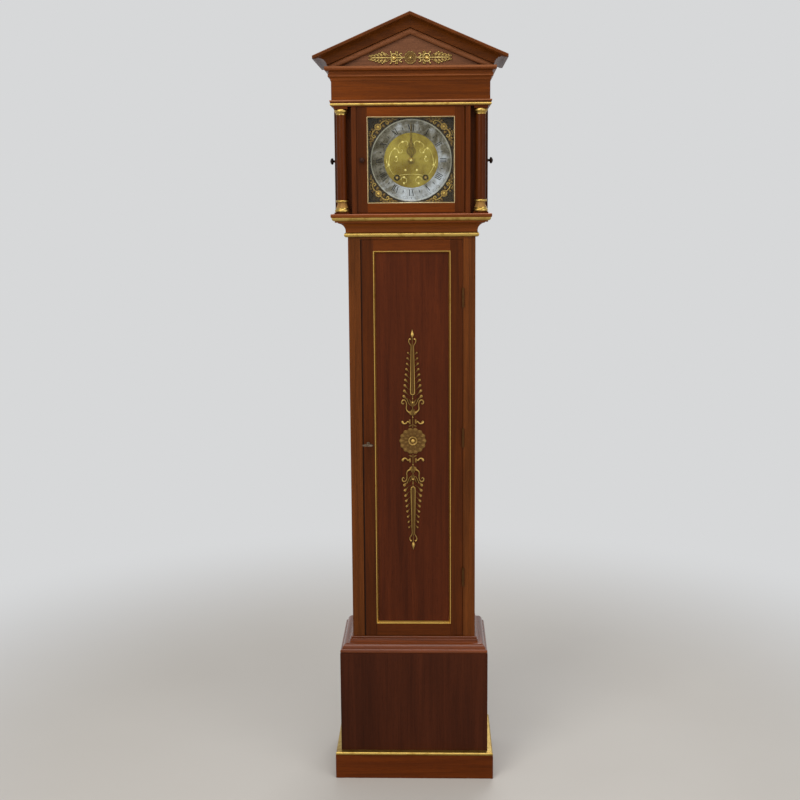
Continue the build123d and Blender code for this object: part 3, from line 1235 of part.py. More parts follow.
ROSETTE_Z = KEY_Z + 6.0
MOUNT_THICK = 5.0
MOUNT_REACH = 300.0
MOUNT_HALF = 31.0
with BuildPart() as trunk_door_ornament:
    with BuildSketch(facing(PANEL_FACE, 0, ROSETTE_Z)):
        Circle(MOUNT_HALF + 4)
        for up in (-1, 1):
            tip = (0.16 * MOUNT_HALF, up * MOUNT_REACH)
            waist = (0.42 * MOUNT_HALF, up * 0.73 * MOUNT_REACH)
            shoulder = (0.65 * MOUNT_HALF, up * 0.53 * MOUNT_REACH)
            flank = (MOUNT_HALF, up * 0.35 * MOUNT_REACH)
            foot = (0.9 * MOUNT_HALF, up * 0.21 * MOUNT_REACH)
            with BuildLine() as right_edge:
                ThreePointArc(foot, flank, shoulder)
                ThreePointArc(shoulder, waist, tip)
            with BuildLine() as outline:
                add(right_edge.line)
                add(mirrored(right_edge.line, Plane.YZ))
                Line(tip, (-tip[0], tip[1]))
                ThreePointArc(foot, (0, up * 0.1 * MOUNT_REACH), (-foot[0], foot[1]))
            make_face(outline.edges())
    extrude(amount=MOUNT_THICK)
save(trunk_door_ornament, "trunk_door_ornament")

with BuildPart() as trunk_door_hinges:
    for middle in HINGE_Z:
        hinge_leaf(-1, middle, [(-KNUCKLE_SPLIT, KNUCKLE_SPLIT)])
        low = middle - HINGE_HALF
        high = middle + HINGE_HALF
        rod(HINGE_X, HINGE_Y, low, high, PIN_RADIUS + RUNNING, mode=Mode.SUBTRACT)
save(trunk_door_hinges, "trunk_door_hinges")

LOCK_LEFT = 0.5 - TRUNK_DOOR_HALF
LOCK_RIGHT = KEY_X + 23.0
LOCK_LOW = KEY_Z - 14
LOCK_WALL = 2.0
LOCK_BACK = DOOR_BACK + 14.0
BOLT_TOP = BOLT_BOTTOM + BOLT_HEIGHT
BOLT_FRONT = DOOR_BACK + 3.5
BOLT_BACK = BOLT_FRONT + 6.0
LOCK_HIGH = BOLT_TOP + RUNNING + LOCK_WALL
with BuildPart() as trunk_door_lock:
    board(LOCK_LEFT, LOCK_RIGHT, DOOR_BACK, LOCK_BACK, LOCK_LOW, LOCK_HIGH)
    board(
        LOCK_LEFT + LOCK_WALL,
        LOCK_RIGHT - LOCK_WALL,
        DOOR_BACK + LOCK_WALL,
        LOCK_BACK - LOCK_WALL,
        LOCK_LOW + LOCK_WALL,
        BOLT_TOP + RUNNING,
        mode=Mode.SUBTRACT,
    )
    board(
        LOCK_LEFT - 1,
        LOCK_LEFT + LOCK_WALL + 1,
        BOLT_FRONT - RUNNING,
        BOLT_BACK + RUNNING,
        BOLT_BOTTOM - RUNNING,
        BOLT_TOP + RUNNING,
        mode=Mode.SUBTRACT,
    )
    hole_back = DOOR_BACK + LOCK_WALL + 1
    disc(KEY_X, KEY_Z, DOOR_BACK - 1, hole_back, KEY_RADIUS + RUNNING, mode=Mode.SUBTRACT)
save(trunk_door_lock, "trunk_door_lock")

NOTCH_X = KEY_X + (KEY_REACH - 2) * math.sin(math.radians(KEY_START))
with BuildPart() as lock_bolt:
    board(LOCK_LEFT, LOCK_RIGHT - 8, BOLT_FRONT, BOLT_BACK, BOLT_BOTTOM, BOLT_TOP)
    notch_top = KEY_Z + KEY_REACH + 0.8
    half = 2.7
    board(
        NOTCH_X - half,
        NOTCH_X + half,
        BOLT_FRONT,
        BOLT_BACK,
        BOLT_BOTTOM,
        notch_top,
        mode=Mode.SUBTRACT,
    )
save(lock_bolt, "lock_bolt")

BOW_Y = TRUNK_FRONT - 26.0
with BuildPart() as key:
    disc(KEY_X, KEY_Z, BOW_Y + 8, BOLT_BACK + 1, KEY_RADIUS)
    disc(KEY_X, KEY_Z, TRUNK_FRONT - 4, TRUNK_FRONT - 1, 4)
    with BuildSketch(Plane.XY.offset(KEY_Z - 1.5)) as bow:
        with Locations((KEY_X, BOW_Y)):
            Ellipse(14.5, 9.5)
            Ellipse(11, 6, mode=Mode.SUBTRACT)
    extrude(bow.sketch, amount=3)
    with BuildSketch(facing(BOLT_BACK - 1, KEY_X, KEY_Z)) as bit:
        with PolarLocations(KEY_REACH / 2, 1, 90 - KEY_START):
            Rectangle(KEY_REACH, 2)
    extrude(bit.sketch, amount=4)
save(key, "key")

# ---------------------------------------------------------------- hood door
HOOD_DOOR_BACK = HOOD_DOOR_FRONT + HOOD_DOOR_THICK
with BuildPart() as hood_door_frame:
    board(
        -HOOD_DOOR_HALF,
        -HOOD_DOOR_OPENING,
        HOOD_DOOR_FRONT,
        HOOD_DOOR_BACK,
        HOOD_DOOR_BOTTOM,
        HOOD_DOOR_TOP,
    )
    with BuildSketch(Plane.XY.offset(HOOD_DOOR_BOTTOM)) as hinge_stile:
        with BuildLine():
            corner_x = HOOD_DOOR_HALF - PIVOT_IN
            Line((HOOD_DOOR_OPENING, HOOD_DOOR_FRONT), (corner_x, HOOD_DOOR_FRONT))
            bend = PIVOT_IN * math.sqrt(0.5)
            ThreePointArc(
                (corner_x, HOOD_DOOR_FRONT),
                (corner_x + bend, HOOD_PIVOT_Y - bend),
                (HOOD_DOOR_HALF, HOOD_PIVOT_Y),
            )
            Polyline(
                (HOOD_DOOR_HALF, HOOD_PIVOT_Y),
                (HOOD_DOOR_HALF, HOOD_DOOR_BACK),
                (HOOD_DOOR_OPENING, HOOD_DOOR_BACK),
                (HOOD_DOOR_OPENING, HOOD_DOOR_FRONT),
            )
        make_face()
    extrude(hinge_stile.sketch, amount=HOOD_DOOR_TOP - HOOD_DOOR_BOTTOM)
    rail = HOOD_DOOR_OPENING - GLUE
    board(-rail, rail, HOOD_DOOR_FRONT, HOOD_DOOR_BACK, HOOD_DOOR_BOTTOM, GLAZED_LOW)
    board(-rail, rail, HOOD_DOOR_FRONT, HOOD_DOOR_BACK, GLAZED_HIGH, HOOD_DOOR_TOP)
    hole = PIVOT_RADIUS + RUNNING
    depth = PIVOT_LENGTH + 1
    rod(HOOD_PIVOT_X, HOOD_PIVOT_Y, HOOD_DOOR_BOTTOM, HOOD_DOOR_BOTTOM + depth, hole, mode=Mode.SUBTRACT)
    rod(HOOD_PIVOT_X, HOOD_PIVOT_Y, HOOD_DOOR_TOP - depth, HOOD_DOOR_TOP, hole, mode=Mode.SUBTRACT)
    knob_x = -(HOOD_DOOR_OPENING + HOOD_DOOR_HALF) / 2
    knob((knob_x, HOOD_DOOR_FRONT, DIAL_Z), (0, -1, 0), 12.5, 7)
save(hood_door_frame, "hood_door_frame")

with BuildPart() as hood_door_glass:
    glass = HOOD_DOOR_OPENING
    board(-glass, glass, GLASS_FACE, GLASS_FACE + GLASS_THICK, GLAZED_LOW, GLAZED_HIGH)
save(hood_door_glass, "hood_door_glass")

hood_bead_outline = [
    (0, 0),
    (2.6, 0),
    (2.6, 3),
    ((2, 8), (1, 12)),
    (0, 12),
]
with BuildPart() as hood_door_gilt_bead:
    add(frame_bead(hood_bead_outline, HOOD_DOOR_OPENING, GLAZED_LOW, GLAZED_HIGH, GLASS_FACE))
save(hood_door_gilt_bead, "hood_door_gilt_bead")


# ---------------------------------------------------------------- side doors of the hood
def side_door(sign):
    """Side door with a rounded rear edge round its pivots, and its knob."""
    face = sign * HOOD_HALF
    inside = sign * (HOOD_HALF - SIDE_DOOR_THICK)
    pivot_x = sign * SIDE_PIVOT_X
    with BuildSketch(Plane.XY.offset(SIDE_DOOR_BOTTOM)) as section:
        with BuildLine():
            Polyline((face, SIDE_PIVOT_Y), (face, SIDE_DOOR_FRONT), (inside, SIDE_DOOR_FRONT))
            Polyline((inside, SIDE_DOOR_FRONT), (inside, SIDE_DOOR_BACK), (pivot_x, SIDE_DOOR_BACK))
            bend = PIVOT_IN * math.sqrt(0.5)
            ThreePointArc(
                (pivot_x, SIDE_DOOR_BACK),
                (pivot_x + sign * bend, SIDE_PIVOT_Y + bend),
                (face, SIDE_PIVOT_Y),
            )
        make_face()
    extrude(section.sketch, amount=SIDE_DOOR_TOP - SIDE_DOOR_BOTTOM)
    hole = PIVOT_RADIUS + RUNNING
    depth = PIVOT_LENGTH + 1
    rod(pivot_x, SIDE_PIVOT_Y, SIDE_DOOR_BOTTOM, SIDE_DOOR_BOTTOM + depth, hole, mode=Mode.SUBTRACT)
    rod(pivot_x, SIDE_PIVOT_Y, SIDE_DOOR_TOP - depth, SIDE_DOOR_TOP, hole, mode=Mode.SUBTRACT)
    knob((face, SIDE_DOOR_FRONT + 16, DIAL_Z), (sign, 0, 0), 15, 8.5)


with BuildPart() as left_side_door:
    side_door(-1)
save(left_side_door, "left_side_door")

with BuildPart() as right_side_door:
    side_door(1)
save(right_side_door, "right_side_door")
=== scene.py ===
import math

import bmesh
import bpy
from mathutils import Matrix, Vector


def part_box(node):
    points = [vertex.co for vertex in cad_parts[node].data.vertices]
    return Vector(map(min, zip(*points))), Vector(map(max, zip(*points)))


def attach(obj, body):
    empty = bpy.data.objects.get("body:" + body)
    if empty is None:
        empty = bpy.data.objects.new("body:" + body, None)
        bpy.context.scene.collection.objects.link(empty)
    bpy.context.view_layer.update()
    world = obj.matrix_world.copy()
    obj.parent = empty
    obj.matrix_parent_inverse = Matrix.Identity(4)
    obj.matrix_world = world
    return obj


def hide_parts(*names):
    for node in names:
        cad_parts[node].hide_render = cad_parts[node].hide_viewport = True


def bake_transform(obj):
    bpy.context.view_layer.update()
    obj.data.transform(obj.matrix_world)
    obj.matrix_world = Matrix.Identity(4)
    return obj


# Pedimented longcase clock. Metres; X to the right, Y to the back, Z up.
# Ornament and dial work is drawn in millimetres and turned into metres by MM.

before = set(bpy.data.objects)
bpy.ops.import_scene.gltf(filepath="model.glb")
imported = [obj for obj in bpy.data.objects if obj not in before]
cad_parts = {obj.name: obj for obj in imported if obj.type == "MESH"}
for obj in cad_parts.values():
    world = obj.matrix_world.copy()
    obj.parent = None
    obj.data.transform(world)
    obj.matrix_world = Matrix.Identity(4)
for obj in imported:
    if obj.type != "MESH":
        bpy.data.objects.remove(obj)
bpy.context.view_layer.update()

MM = 0.001

# ---- sizes of the case, millimetres
PLINTH_HALF = 215.5
PLINTH_FRONT = -112.5
TRUNK_HALF = 166.5
TRUNK_FRONT = -63.5
HOOD_HALF = 198.0
HOOD_DOOR_FRONT = -91.5
FRIEZE_HALF = 202.0
FRIEZE_FRONT = -94.5
APEX = 2037.6
SLOPE = 0.42944
BOARD = 16.0
TRUNK_OPENING = 101.0
HOOD_OPENING = 112.0
PANEL_FACE = -55.0
TYMPANUM_FACE = -90.0
DIAL_Z = 1675.0
DIAL_FACE = -64.0
RING_FACE = -66.0
DISC_FACE = -65.0
RING_OUTER = 105.0
WINDING_X = 37.0
WINDING_Z = 1631.0


# ---- colours
def linear(level):
    """One 0-255 display level as linear light."""
    share = level / 255
    if share <= 0.04045:
        return share / 12.92
    return ((share + 0.055) / 1.055) ** 2.4


def shade(red, green, blue, times=1.0):
    """A display colour as the four numbers a shader takes."""
    return (linear(red) * times, linear(green) * times, linear(blue) * times, 1.0)


# ---- shader building
class Amount:
    """A number that changes over a surface; sums on it become Math nodes."""

    def __init__(self, finish, socket):
        self.finish = finish
        self.socket = socket

    def reckon(self, operation, *terms):
        made = self.finish.node("Math", {"operation": operation}, dict(enumerate(terms)))
        return Amount(self.finish, made.outputs[0])

    def __add__(self, other):
        return self.reckon("ADD", self, other)

    def __radd__(self, other):
        return self.reckon("ADD", other, self)

    def __sub__(self, other):
        return self.reckon("SUBTRACT", self, other)

    def __rsub__(self, other):
        return self.reckon("SUBTRACT", other, self)

    def __mul__(self, other):
        return self.reckon("MULTIPLY", self, other)

    def __rmul__(self, other):
        return self.reckon("MULTIPLY", other, self)

    def __gt__(self, other):
        return self.reckon("GREATER_THAN", self, other)

    def __lt__(self, other):
        return self.reckon("LESS_THAN", self, other)

    def __abs__(self):
        return self.reckon("ABSOLUTE", self)

    def power(self, exponent):
        return self.reckon("POWER", self, exponent)


FINISHES = {}  # finished materials by name


class Finish:
    """The nodes of a material, or of the world, while they are being made up."""

    def __init__(self, name, library="materials"):
        self.name = name
        self.made = getattr(bpy.data, library).new(name)
        self.made.use_nodes = True
        self.tree = self.made.node_tree
        self.tree.nodes.clear()

    def node(self, kind, settings=None, sources=None):
        """One shader node: its settings first, then a value or a link for each named input."""
        made = self.tree.nodes.new("ShaderNode" + kind)
        for key, setting in (settings or {}).items():
            if key == "stops":
                self.set_stops(made.color_ramp.elements, setting)
            else:
                setattr(made, key, setting)
        for key, source in (sources or {}).items():
            if isinstance(source, Amount):
                source = source.socket
            if isinstance(source, bpy.types.NodeSocket):
                self.tree.links.new(source, made.inputs[key])
            else:
                made.inputs[key].default_value = source
        return made

    @staticmethod
    def set_stops(elements, stops):
        while len(elements) < len(stops):
            elements.new(1.0)
        for element, (place, colour) in zip(elements, stops):
            element.position = place
            element.color = colour

    def place(self):
        """The point on the piece, in metres, as it stands at rest."""
        return self.node("TexCoord").outputs["Object"]

    def axes(self):
        parts = self.node("SeparateXYZ", None, {0: self.place()})
        return [Amount(self, parts.outputs[i]) for i in range(3)]

    def vector(self, *parts):
        return self.node("CombineXYZ", None, dict(enumerate(parts))).outputs[0]

    def noise(self, point, scale, detail, roughness, distortion=0.0):
        sources = {
            "Vector": point,
            "Scale": scale,
            "Detail": detail,
            "Roughness": roughness,
            "Distortion": distortion,
        }
        return Amount(self, self.node("TexNoise", None, sources).outputs[0])

    def streaks(self, point, scales, detail, roughness, distortion=0.0):
        """Noise drawn out along one direction: a scale for each of the three."""
        settings = {"operation": "MULTIPLY"}
        drawn = self.node("VectorMath", settings, {0: point, 1: scales}).outputs[0]
        return self.noise(drawn, 1.0, detail, roughness, distortion)

    def fade(self, amount, low, high):
        """0 below low, 1 above high, smooth between them."""
        settings = {"interpolation_type": "SMOOTHSTEP"}
        sources = {"Value": amount, "From Min": low, "From Max": high}
        return Amount(self, self.node("MapRange", settings, sources).outputs[0])

    def ramp(self, amount, stops):
        return self.node("ValToRGB", {"stops": stops}, {0: amount}).outputs[0]

    def mix(self, share, first, second, kind="MIX"):
        """Colour that goes from first to second with share."""
        settings = {"data_type": "RGBA", "blend_type": kind, "clamp_factor": True}
        return self.node("Mix", settings, {0: share, 6: first, 7: second}).outputs[2]

    def pick(self, share, first, second):
        """Point that goes from first to second with share."""
        settings = {"data_type": "VECTOR"}
        return self.node("Mix", settings, {0: share, 4: first, 5: second}).outputs[1]

    def bump(self, height, depth, strength):
        sources = {"Strength": strength, "Distance": depth, "Height": height}
        return self.node("Bump", None, sources).outputs[0]

    def mix_shaders(self, share, first, second):
        """Shader that goes from first to second with share."""
        return self.node("MixShader", None, {0: share, 1: first, 2: second}).outputs[0]

    def surface(self, **inputs):
        """Principled surface; input names are written with _ for each space."""
        named = {key.replace("_", " "): source for key, source in inputs.items()}
        return self.node("BsdfPrincipled", None, named).outputs[0]

    def done(self, shader):
        self.node("OutputMaterial", None, {"Surface": shader})
        FINISHES[self.name] = self.made
        return self.made

    def covered(self, **inputs):
        """The finished material, when one principled surface is all of it."""
        return self.done(self.surface(**inputs))


# ---- wood
def upright_grain(finish):
    return finish.place(), 0.0


def level_grain(finish):
    x, y, z = finish.axes()
    return finish.vector(y, z, x), 0.0


def frame_grain(opening):
    """Rails between the stiles have level grain, the stiles themselves upright grain."""

    def grain(finish):
        x, y, z = finish.axes()
        stiles = abs(x) > opening * MM
        return finish.pick(stiles, finish.vector(y, z, x), finish.vector(x, y, z)), stiles

    return grain


def run_grain(half, front):
    """Mitred run round the front and sides: grain follows the front, then each side."""
    corner = (half + front) * MM

    def grain(finish):
        x, y, z = finish.axes()
        side = (abs(x) + y) > corner
        return finish.pick(side, finish.vector(y, z, x), finish.vector(z, x, y)), side

    return grain


def beyond_front(face):
    """1 on what stands forward of a face, such as a knob."""

    def mask(finish):
        x, y, z = finish.axes()
        return y < face * MM

    return mask


def beyond_side(half):
    """1 on what stands out from a side."""

    def mask(finish):
        x, y, z = finish.axes()
        return abs(x) > half * MM

    return mask


def upright_strip(low, high):
    """1 between two distances to the right of the middle."""

    def mask(finish):
        x, y, z = finish.axes()
        return (x > low * MM) * (x < high * MM)

    return mask


def banded(finish, amount, bands, inward, outward):
    """1 between the two ends of each band, faded over a little on either side of an end."""
    # the bands are painted highlights along moulding edges, and the brass band at the columns' feet
    worn = 0.0
    for low, high in bands:
        inside = finish.fade(amount, (low - outward) * MM, (low + inward) * MM)
        outside = finish.fade(amount, (high - inward) * MM, (high + outward) * MM)
        worn = worn + inside * (1 - outside)
    return worn


def painted_highlight_slope(apex, slope, *bands):
    """1 on painted highlights along the edges of a sloping moulding, each band by its depth below
    the top.
    """

    def mask(finish):
        x, y, z = finish.axes()
        return banded(finish, apex * MM - abs(x) * slope - z, bands, 1.5, 0.0)

    return mask


def highlight_and_brass_bands(*bands):
    """1 between pairs of heights: painted highlights along the edges of level mouldings, and the
    brass-coloured band at the columns' feet.
    """

    def mask(finish):
        x, y, z = finish.axes()
        return banded(finish, z, bands, 0.6, 0.6)

    return mask


def wood(
    name,
    middle,
    grain,
    contrast=0.45,
    gloss=0.34,
    coat=0.03,
    shine=0.08,
    turned_tone=1.0,
    mark=None,
    mark_colour=(150, 96, 62),
):
    """Polished wood in streaks round the middle colour, with fine dark pores.

    turned_tone darkens the boards whose grain runs the other way; mark is a mask for parts
    of another colour, such as knobs, painted highlights on edges and a painted shadow."""
    finish = Finish(name)
    point, other_boards = grain(finish)
    broad = finish.streaks(point, (9, 9, 1.3), 2.0, 0.5, 0.6)
    figure = finish.streaks(point, (55, 55, 2.2), 4.0, 0.6, 0.9)
    streak = finish.streaks(point, (420, 420, 9), 2.0, 0.5)
    pore = finish.streaks(point, (1500, 1500, 55), 1.0, 0.5)
    tone = broad * 0.35 + figure * 0.45 + streak * 0.2
    colour = finish.ramp(
        tone,
        [
            (0.34, shade(*middle, times=1 - contrast)),
            (0.5, shade(*middle)),
            (0.66, shade(*middle, times=1 + 1.2 * contrast)),
        ],
    )
    if turned_tone != 1.0:
        dimmed = finish.mix(1.0, colour, (turned_tone, turned_tone, turned_tone, 1.0), "MULTIPLY")
        colour = finish.mix(other_boards, colour, dimmed)
    if mark:
        patchy = finish.fade(figure, 0.3, 0.6)
        colour = finish.mix(mark(finish) * (0.55 + patchy * 0.45), colour, shade(*mark_colour))
    open_pore = finish.fade(pore, 0.58, 0.7)
    colour = finish.mix(open_pore * 0.5, colour, shade(*middle, times=0.35))
    return finish.covered(
        Base_Color=colour,
        Roughness=gloss + streak * 0.14,
        Normal=finish.bump(1 - open_pore, 0.00006, 0.5),
        Coat_Weight=coat,
        Coat_Roughness=0.18,
        Specular_IOR_Level=shine,
    )


def plain_wood(name, middle):
    """Unpolished softwood with broad rings and a dry surface."""
    finish = Finish(name)
    point = finish.place()
    broad = finish.streaks(point, (30, 30, 1.6), 3.0, 0.55, 1.2)
    fine = finish.streaks(point, (500, 500, 12), 2.0, 0.5)
    dirt = finish.noise(point, 7.0, 4.0, 0.6)
    tone = broad * 0.6 + fine * 0.4
    colour = finish.ramp(
        tone,
        [
            (0.32, shade(*middle, times=0.6)),
            (0.5, shade(*middle)),
            (0.68, shade(*middle, times=1.35)),
        ],
    )
    colour = finish.mix(finish.fade(dirt, 0.5, 0.75) * 0.5, colour, shade(58, 44, 32))
    return finish.covered(
        Base_Color=colour,
        Roughness=0.72 + fine * 0.15,
        Normal=finish.bump(fine, 0.0002, 0.5),
    )


# ---- metals
def metal(name, bright, worn, patina, rough, wear=(0.45, 0.7)):
    """Old metal: bright colour, worn towards a duller one, with patina in blotches."""
    finish = Finish(name)
    point = finish.place()
    blotch = finish.noise(point, 55.0, 5.0, 0.6)
    speck = finish.noise(point, 420.0, 3.0, 0.6)
    brush = finish.noise(point, 900.0, 2.0, 0.5)
    colour = finish.mix(finish.fade(blotch, *wear), shade(*bright), shade(*worn))
    colour = finish.mix(finish.fade(speck, 0.58, 0.72) * 0.7, colour, shade(*patina))
    return finish.covered(
        Base_Color=colour,
        Metallic=1.0 - finish.fade(speck, 0.6, 0.75) * 0.4,
        Roughness=rough + blotch * 0.18,
        Normal=finish.bump(brush, 0.00005, 0.5),
    )


def gilding(name, face, depth, dull, bright):
    """Gilt casting on a face: dull to bright on its crests, brown down towards the ground."""
    finish = Finish(name)
    x, y, z = finish.axes()
    point = finish.place()
    height = finish.fade(face * MM - y, 0.0006, depth * MM)
    blotch = finish.noise(point, 90.0, 4.0, 0.6)
    speck = finish.noise(point, 650.0, 3.0, 0.6)
    crest = finish.mix(blotch, shade(*dull), shade(*bright))
    colour = finish.mix(height, shade(96, 66, 24), crest)
    colour = finish.mix(finish.fade(speck, 0.56, 0.72) * 0.6, colour, shade(78, 52, 20))
    return finish.covered(
        Base_Color=colour,
        Metallic=0.65 + height * 0.35,
        Roughness=0.5 - height * 0.14 + speck * 0.1,
        Normal=finish.bump(speck, 0.00015, 0.6),
    )


def turned_metal(name, bright, dull, middle_z, rough):
    """Metal brushed in circles round the middle of the dial."""
    finish = Finish(name)
    x, y, z = finish.axes()
    rise = z - middle_z * MM
    radius = (x * x + rise * rise).power(0.5)
    ring = finish.noise(finish.vector(radius * 2600, 0.0, 0.0), 1.0, 2.0, 0.6)
    sweep = finish.noise(finish.vector(x * 14, 0.0, rise * 14), 1.0, 3.0, 0.6)
    cloud = finish.noise(finish.place(), 60.0, 4.0, 0.65)
    colour = finish.mix(finish.fade(sweep, 0.38, 0.66), shade(*bright), shade(*dull))
    colour = finish.mix(finish.fade(cloud, 0.5, 0.8) * 0.5, colour, shade(*dull, times=0.6))
    return finish.covered(
        Base_Color=colour,
        Metallic=1.0,
        Roughness=rough + cloud * 0.16,
        Normal=finish.bump(ring, 0.00002, 0.35),
    )


def silvered(name, middle_z):
    """Old silvering on a turned ring: grey with pale and dark clouds and a little blue;
    painted light and shade round it, and a painted highlight along its outer rim.
    """
    finish = Finish(name)
    x, y, z = finish.axes()
    rise = z - middle_z * MM
    radius = (x * x + rise * rise).power(0.5)
    ring = finish.noise(finish.vector(radius * 2600, 0.0, 0.0), 1.0, 2.0, 0.6)
    sweep = finish.noise(finish.vector(x * 22, 0.0, rise * 22), 1.0, 3.0, 0.6, 0.8)
    cloud = finish.noise(finish.place(), 48.0, 4.0, 0.6)
    speck = finish.noise(finish.place(), 420.0, 3.0, 0.6)
    # painted light and shade: brightest at the bottom, darker at the top and on the right, darkest
    # on the left
    painted_flank_shade = abs(x) - abs(rise)
    colour = finish.ramp(
        sweep * 0.5 + cloud * 0.5 - painted_flank_shade * 0.9 - rise * 1.1 + x * 0.5,
        [
            (0.36, shade(72, 64, 44)),
            (0.47, shade(120, 114, 100)),
            (0.56, shade(164, 164, 164)),
            (0.68, shade(206, 210, 218)),
        ],
    )
    # a painted highlight along the outer rim
    painted_rim_highlight = finish.fade(radius, (RING_OUTER - 3.4) * MM, (RING_OUTER - 2.2) * MM)
    colour = finish.mix(painted_rim_highlight * 0.45, colour, shade(214, 210, 190))
    colour = finish.mix(finish.fade(speck, 0.6, 0.74) * 0.4, colour, shade(96, 84, 64))
    return finish.covered(
        Base_Color=colour,
        Metallic=0.85,
        Roughness=0.3 + cloud * 0.16,
        Normal=finish.bump(ring, 0.00002, 0.35),
    )


def dark_ground(name, colour, glint):
    """Matted, lacquered plate: dark with a faint sparkle from its punched ground."""
    finish = Finish(name)
    grain = finish.noise(finish.place(), 900.0, 3.0, 0.7)
    cloud = finish.noise(finish.place(), 40.0, 3.0, 0.6)
    tone = finish.mix(finish.fade(grain, 0.5, 0.7), shade(*colour), shade(*glint))
    return finish.covered(
        Base_Color=tone,
        Metallic=finish.fade(grain, 0.45, 0.7) * 0.25,
        Roughness=0.5 + cloud * 0.2,
        Normal=finish.bump(grain, 0.0003, 0.8),
        Specular_IOR_Level=0.12,
    )


def painted_iron(name):
    finish = Finish(name)
    point = finish.place()
    cast = finish.noise(point, 260.0, 5.0, 0.65)
    rust = finish.noise(point, 26.0, 5.0, 0.65)
    colour = finish.mix(finish.fade(rust, 0.52, 0.72), shade(46, 44, 43), shade(86, 58, 42))
    return finish.covered(
        Base_Color=colour,
        Metallic=0.3,
        Roughness=0.52 + cast * 0.25,
        Normal=finish.bump(cast, 0.0005, 0.7),
    )


def gut_line(name):
    """Twisted gut: pale straw colour with the lay of its strands."""
    finish = Finish(name)
    x, y, z = finish.axes()
    lay = finish.noise(finish.vector(x * 900 + z * 500, y * 900, z * 60), 1.0, 2.0, 0.5)
    colour = finish.mix(lay, shade(150, 124, 78), shade(206, 184, 136))
    return finish.covered(
        Base_Color=colour,
        Roughness=0.55 + lay * 0.2,
        Normal=finish.bump(lay, 0.0002, 0.6),
    )


def clear_glass(name):
    """Old window glass: see-through, with a reflection that grows towards a grazing view."""
    finish = Finish(name)
    wave = finish.noise(finish.place(), 7.0, 2.0, 0.5)
    film = finish.noise(finish.place(), 30.0, 4.0, 0.6)
    uneven = finish.bump(wave, 0.0006, 0.25)
    slant = finish.node("LayerWeight", None, {"Blend": 0.5, "Normal": uneven}).outputs["Facing"]
    shine = 0.016 + 0.96 * Amount(finish, slant).power(5)
    clear = finish.node("BsdfTransparent", None, {"Color": (0.95, 0.96, 0.95, 1.0)}).outputs[0]
    gloss = finish.surface(
        Base_Color=finish.mix(film, shade(226, 228, 226), shade(244, 244, 242)),
        Metallic=1.0,
        Roughness=0.03 + film * 0.05,
        Normal=uneven,
    )
    return finish.done(finish.mix_shaders(shine, clear, gloss))


# ---- the finishes
THROAT_HIGHLIGHT = (1536.8, 1539.5)  # heights of painted highlight bands, and of the columns' brass foot band, up to the cornice's
COLUMN_FOOT = (1554, 1570)
ARCHITRAVE_HIGHLIGHT = (1823, 1827)
CORNICE_HIGHLIGHTS = ((1904, 1910), (1885.5, 1886.5))
RAKING_HIGHLIGHTS = ((-1, 2.5), (34.5, 52))  # painted highlights on the top fillet and the bead, as depths below the slope's top
DOOR_SHADOW = (-134, -130.5)  # the trunk door's dark left edge
DOOR_RELIEF = 5.0  # how far the castings stand out
GABLE_RELIEF = 4.0
DIAL_RELIEF = 3.0

hood_grain = run_grain(FRIEZE_HALF, FRIEZE_FRONT)
frieze_grain = run_grain(FRIEZE_HALF - BOARD, FRIEZE_FRONT + BOARD)
trunk_grain = run_grain(TRUNK_HALF, TRUNK_FRONT)
plinth_grain = run_grain(PLINTH_HALF - BOARD, PLINTH_FRONT + BOARD)

wood("plinth wood", (88, 38, 6), plinth_grain)
wood("base wood", (64, 28, 12), upright_grain, contrast=0.35)
wood("base moulding wood", (104, 49, 17), trunk_grain, gloss=0.12, coat=0.1, shine=0.3)
wood("trunk wood", (93, 48, 15), upright_grain)
wood(
    "trunk door wood",
    (86, 39, 7),
    frame_grain(TRUNK_OPENING),
    turned_tone=0.76,
    mark=upright_strip(*DOOR_SHADOW),
    mark_colour=(34, 16, 8),
)
wood("trunk panel wood", (74, 31, 10), upright_grain, contrast=0.4)
# a painted highlight along the top edge of the throat and hood base mouldings
wood(
    "cove wood",
    (104, 52, 14),
    trunk_grain,
    mark=highlight_and_brass_bands(THROAT_HIGHLIGHT),
    mark_colour=(176, 112, 84),
)
wood("hood wood", (84, 38, 6), upright_grain)
# painted shade: a darker copy of the hood's wood for its side frames and side doors
wood(
    "hood side wood in painted shade",
    (60, 28, 9),
    upright_grain,
    mark=beyond_side(HOOD_HALF + 0.4),
    mark_colour=(24, 16, 12),
)
wood(
    "hood door wood",
    (95, 43, 4),
    frame_grain(HOOD_OPENING),
    turned_tone=0.58,
    mark=beyond_front(HOOD_DOOR_FRONT - 0.8),
    mark_colour=(44, 22, 14),
)
wood(
    "column wood",
    (72, 31, 6),
    upright_grain,
    gloss=0.3,
    shine=0.05,
    mark=highlight_and_brass_bands(COLUMN_FOOT),
    mark_colour=(156, 116, 62),
)
# a painted highlight along the architrave's top edge
wood("architrave wood", (78, 36, 12), hood_grain, mark=highlight_and_brass_bands(ARCHITRAVE_HIGHLIGHT))
wood("frieze wood", (92, 42, 3), frieze_grain)
# painted highlights along two edges of the cornice
wood(
    "cornice wood",
    (98, 48, 12),
    hood_grain,
    mark=highlight_and_brass_bands(*CORNICE_HIGHLIGHTS),
    mark_colour=(136, 84, 52),
)
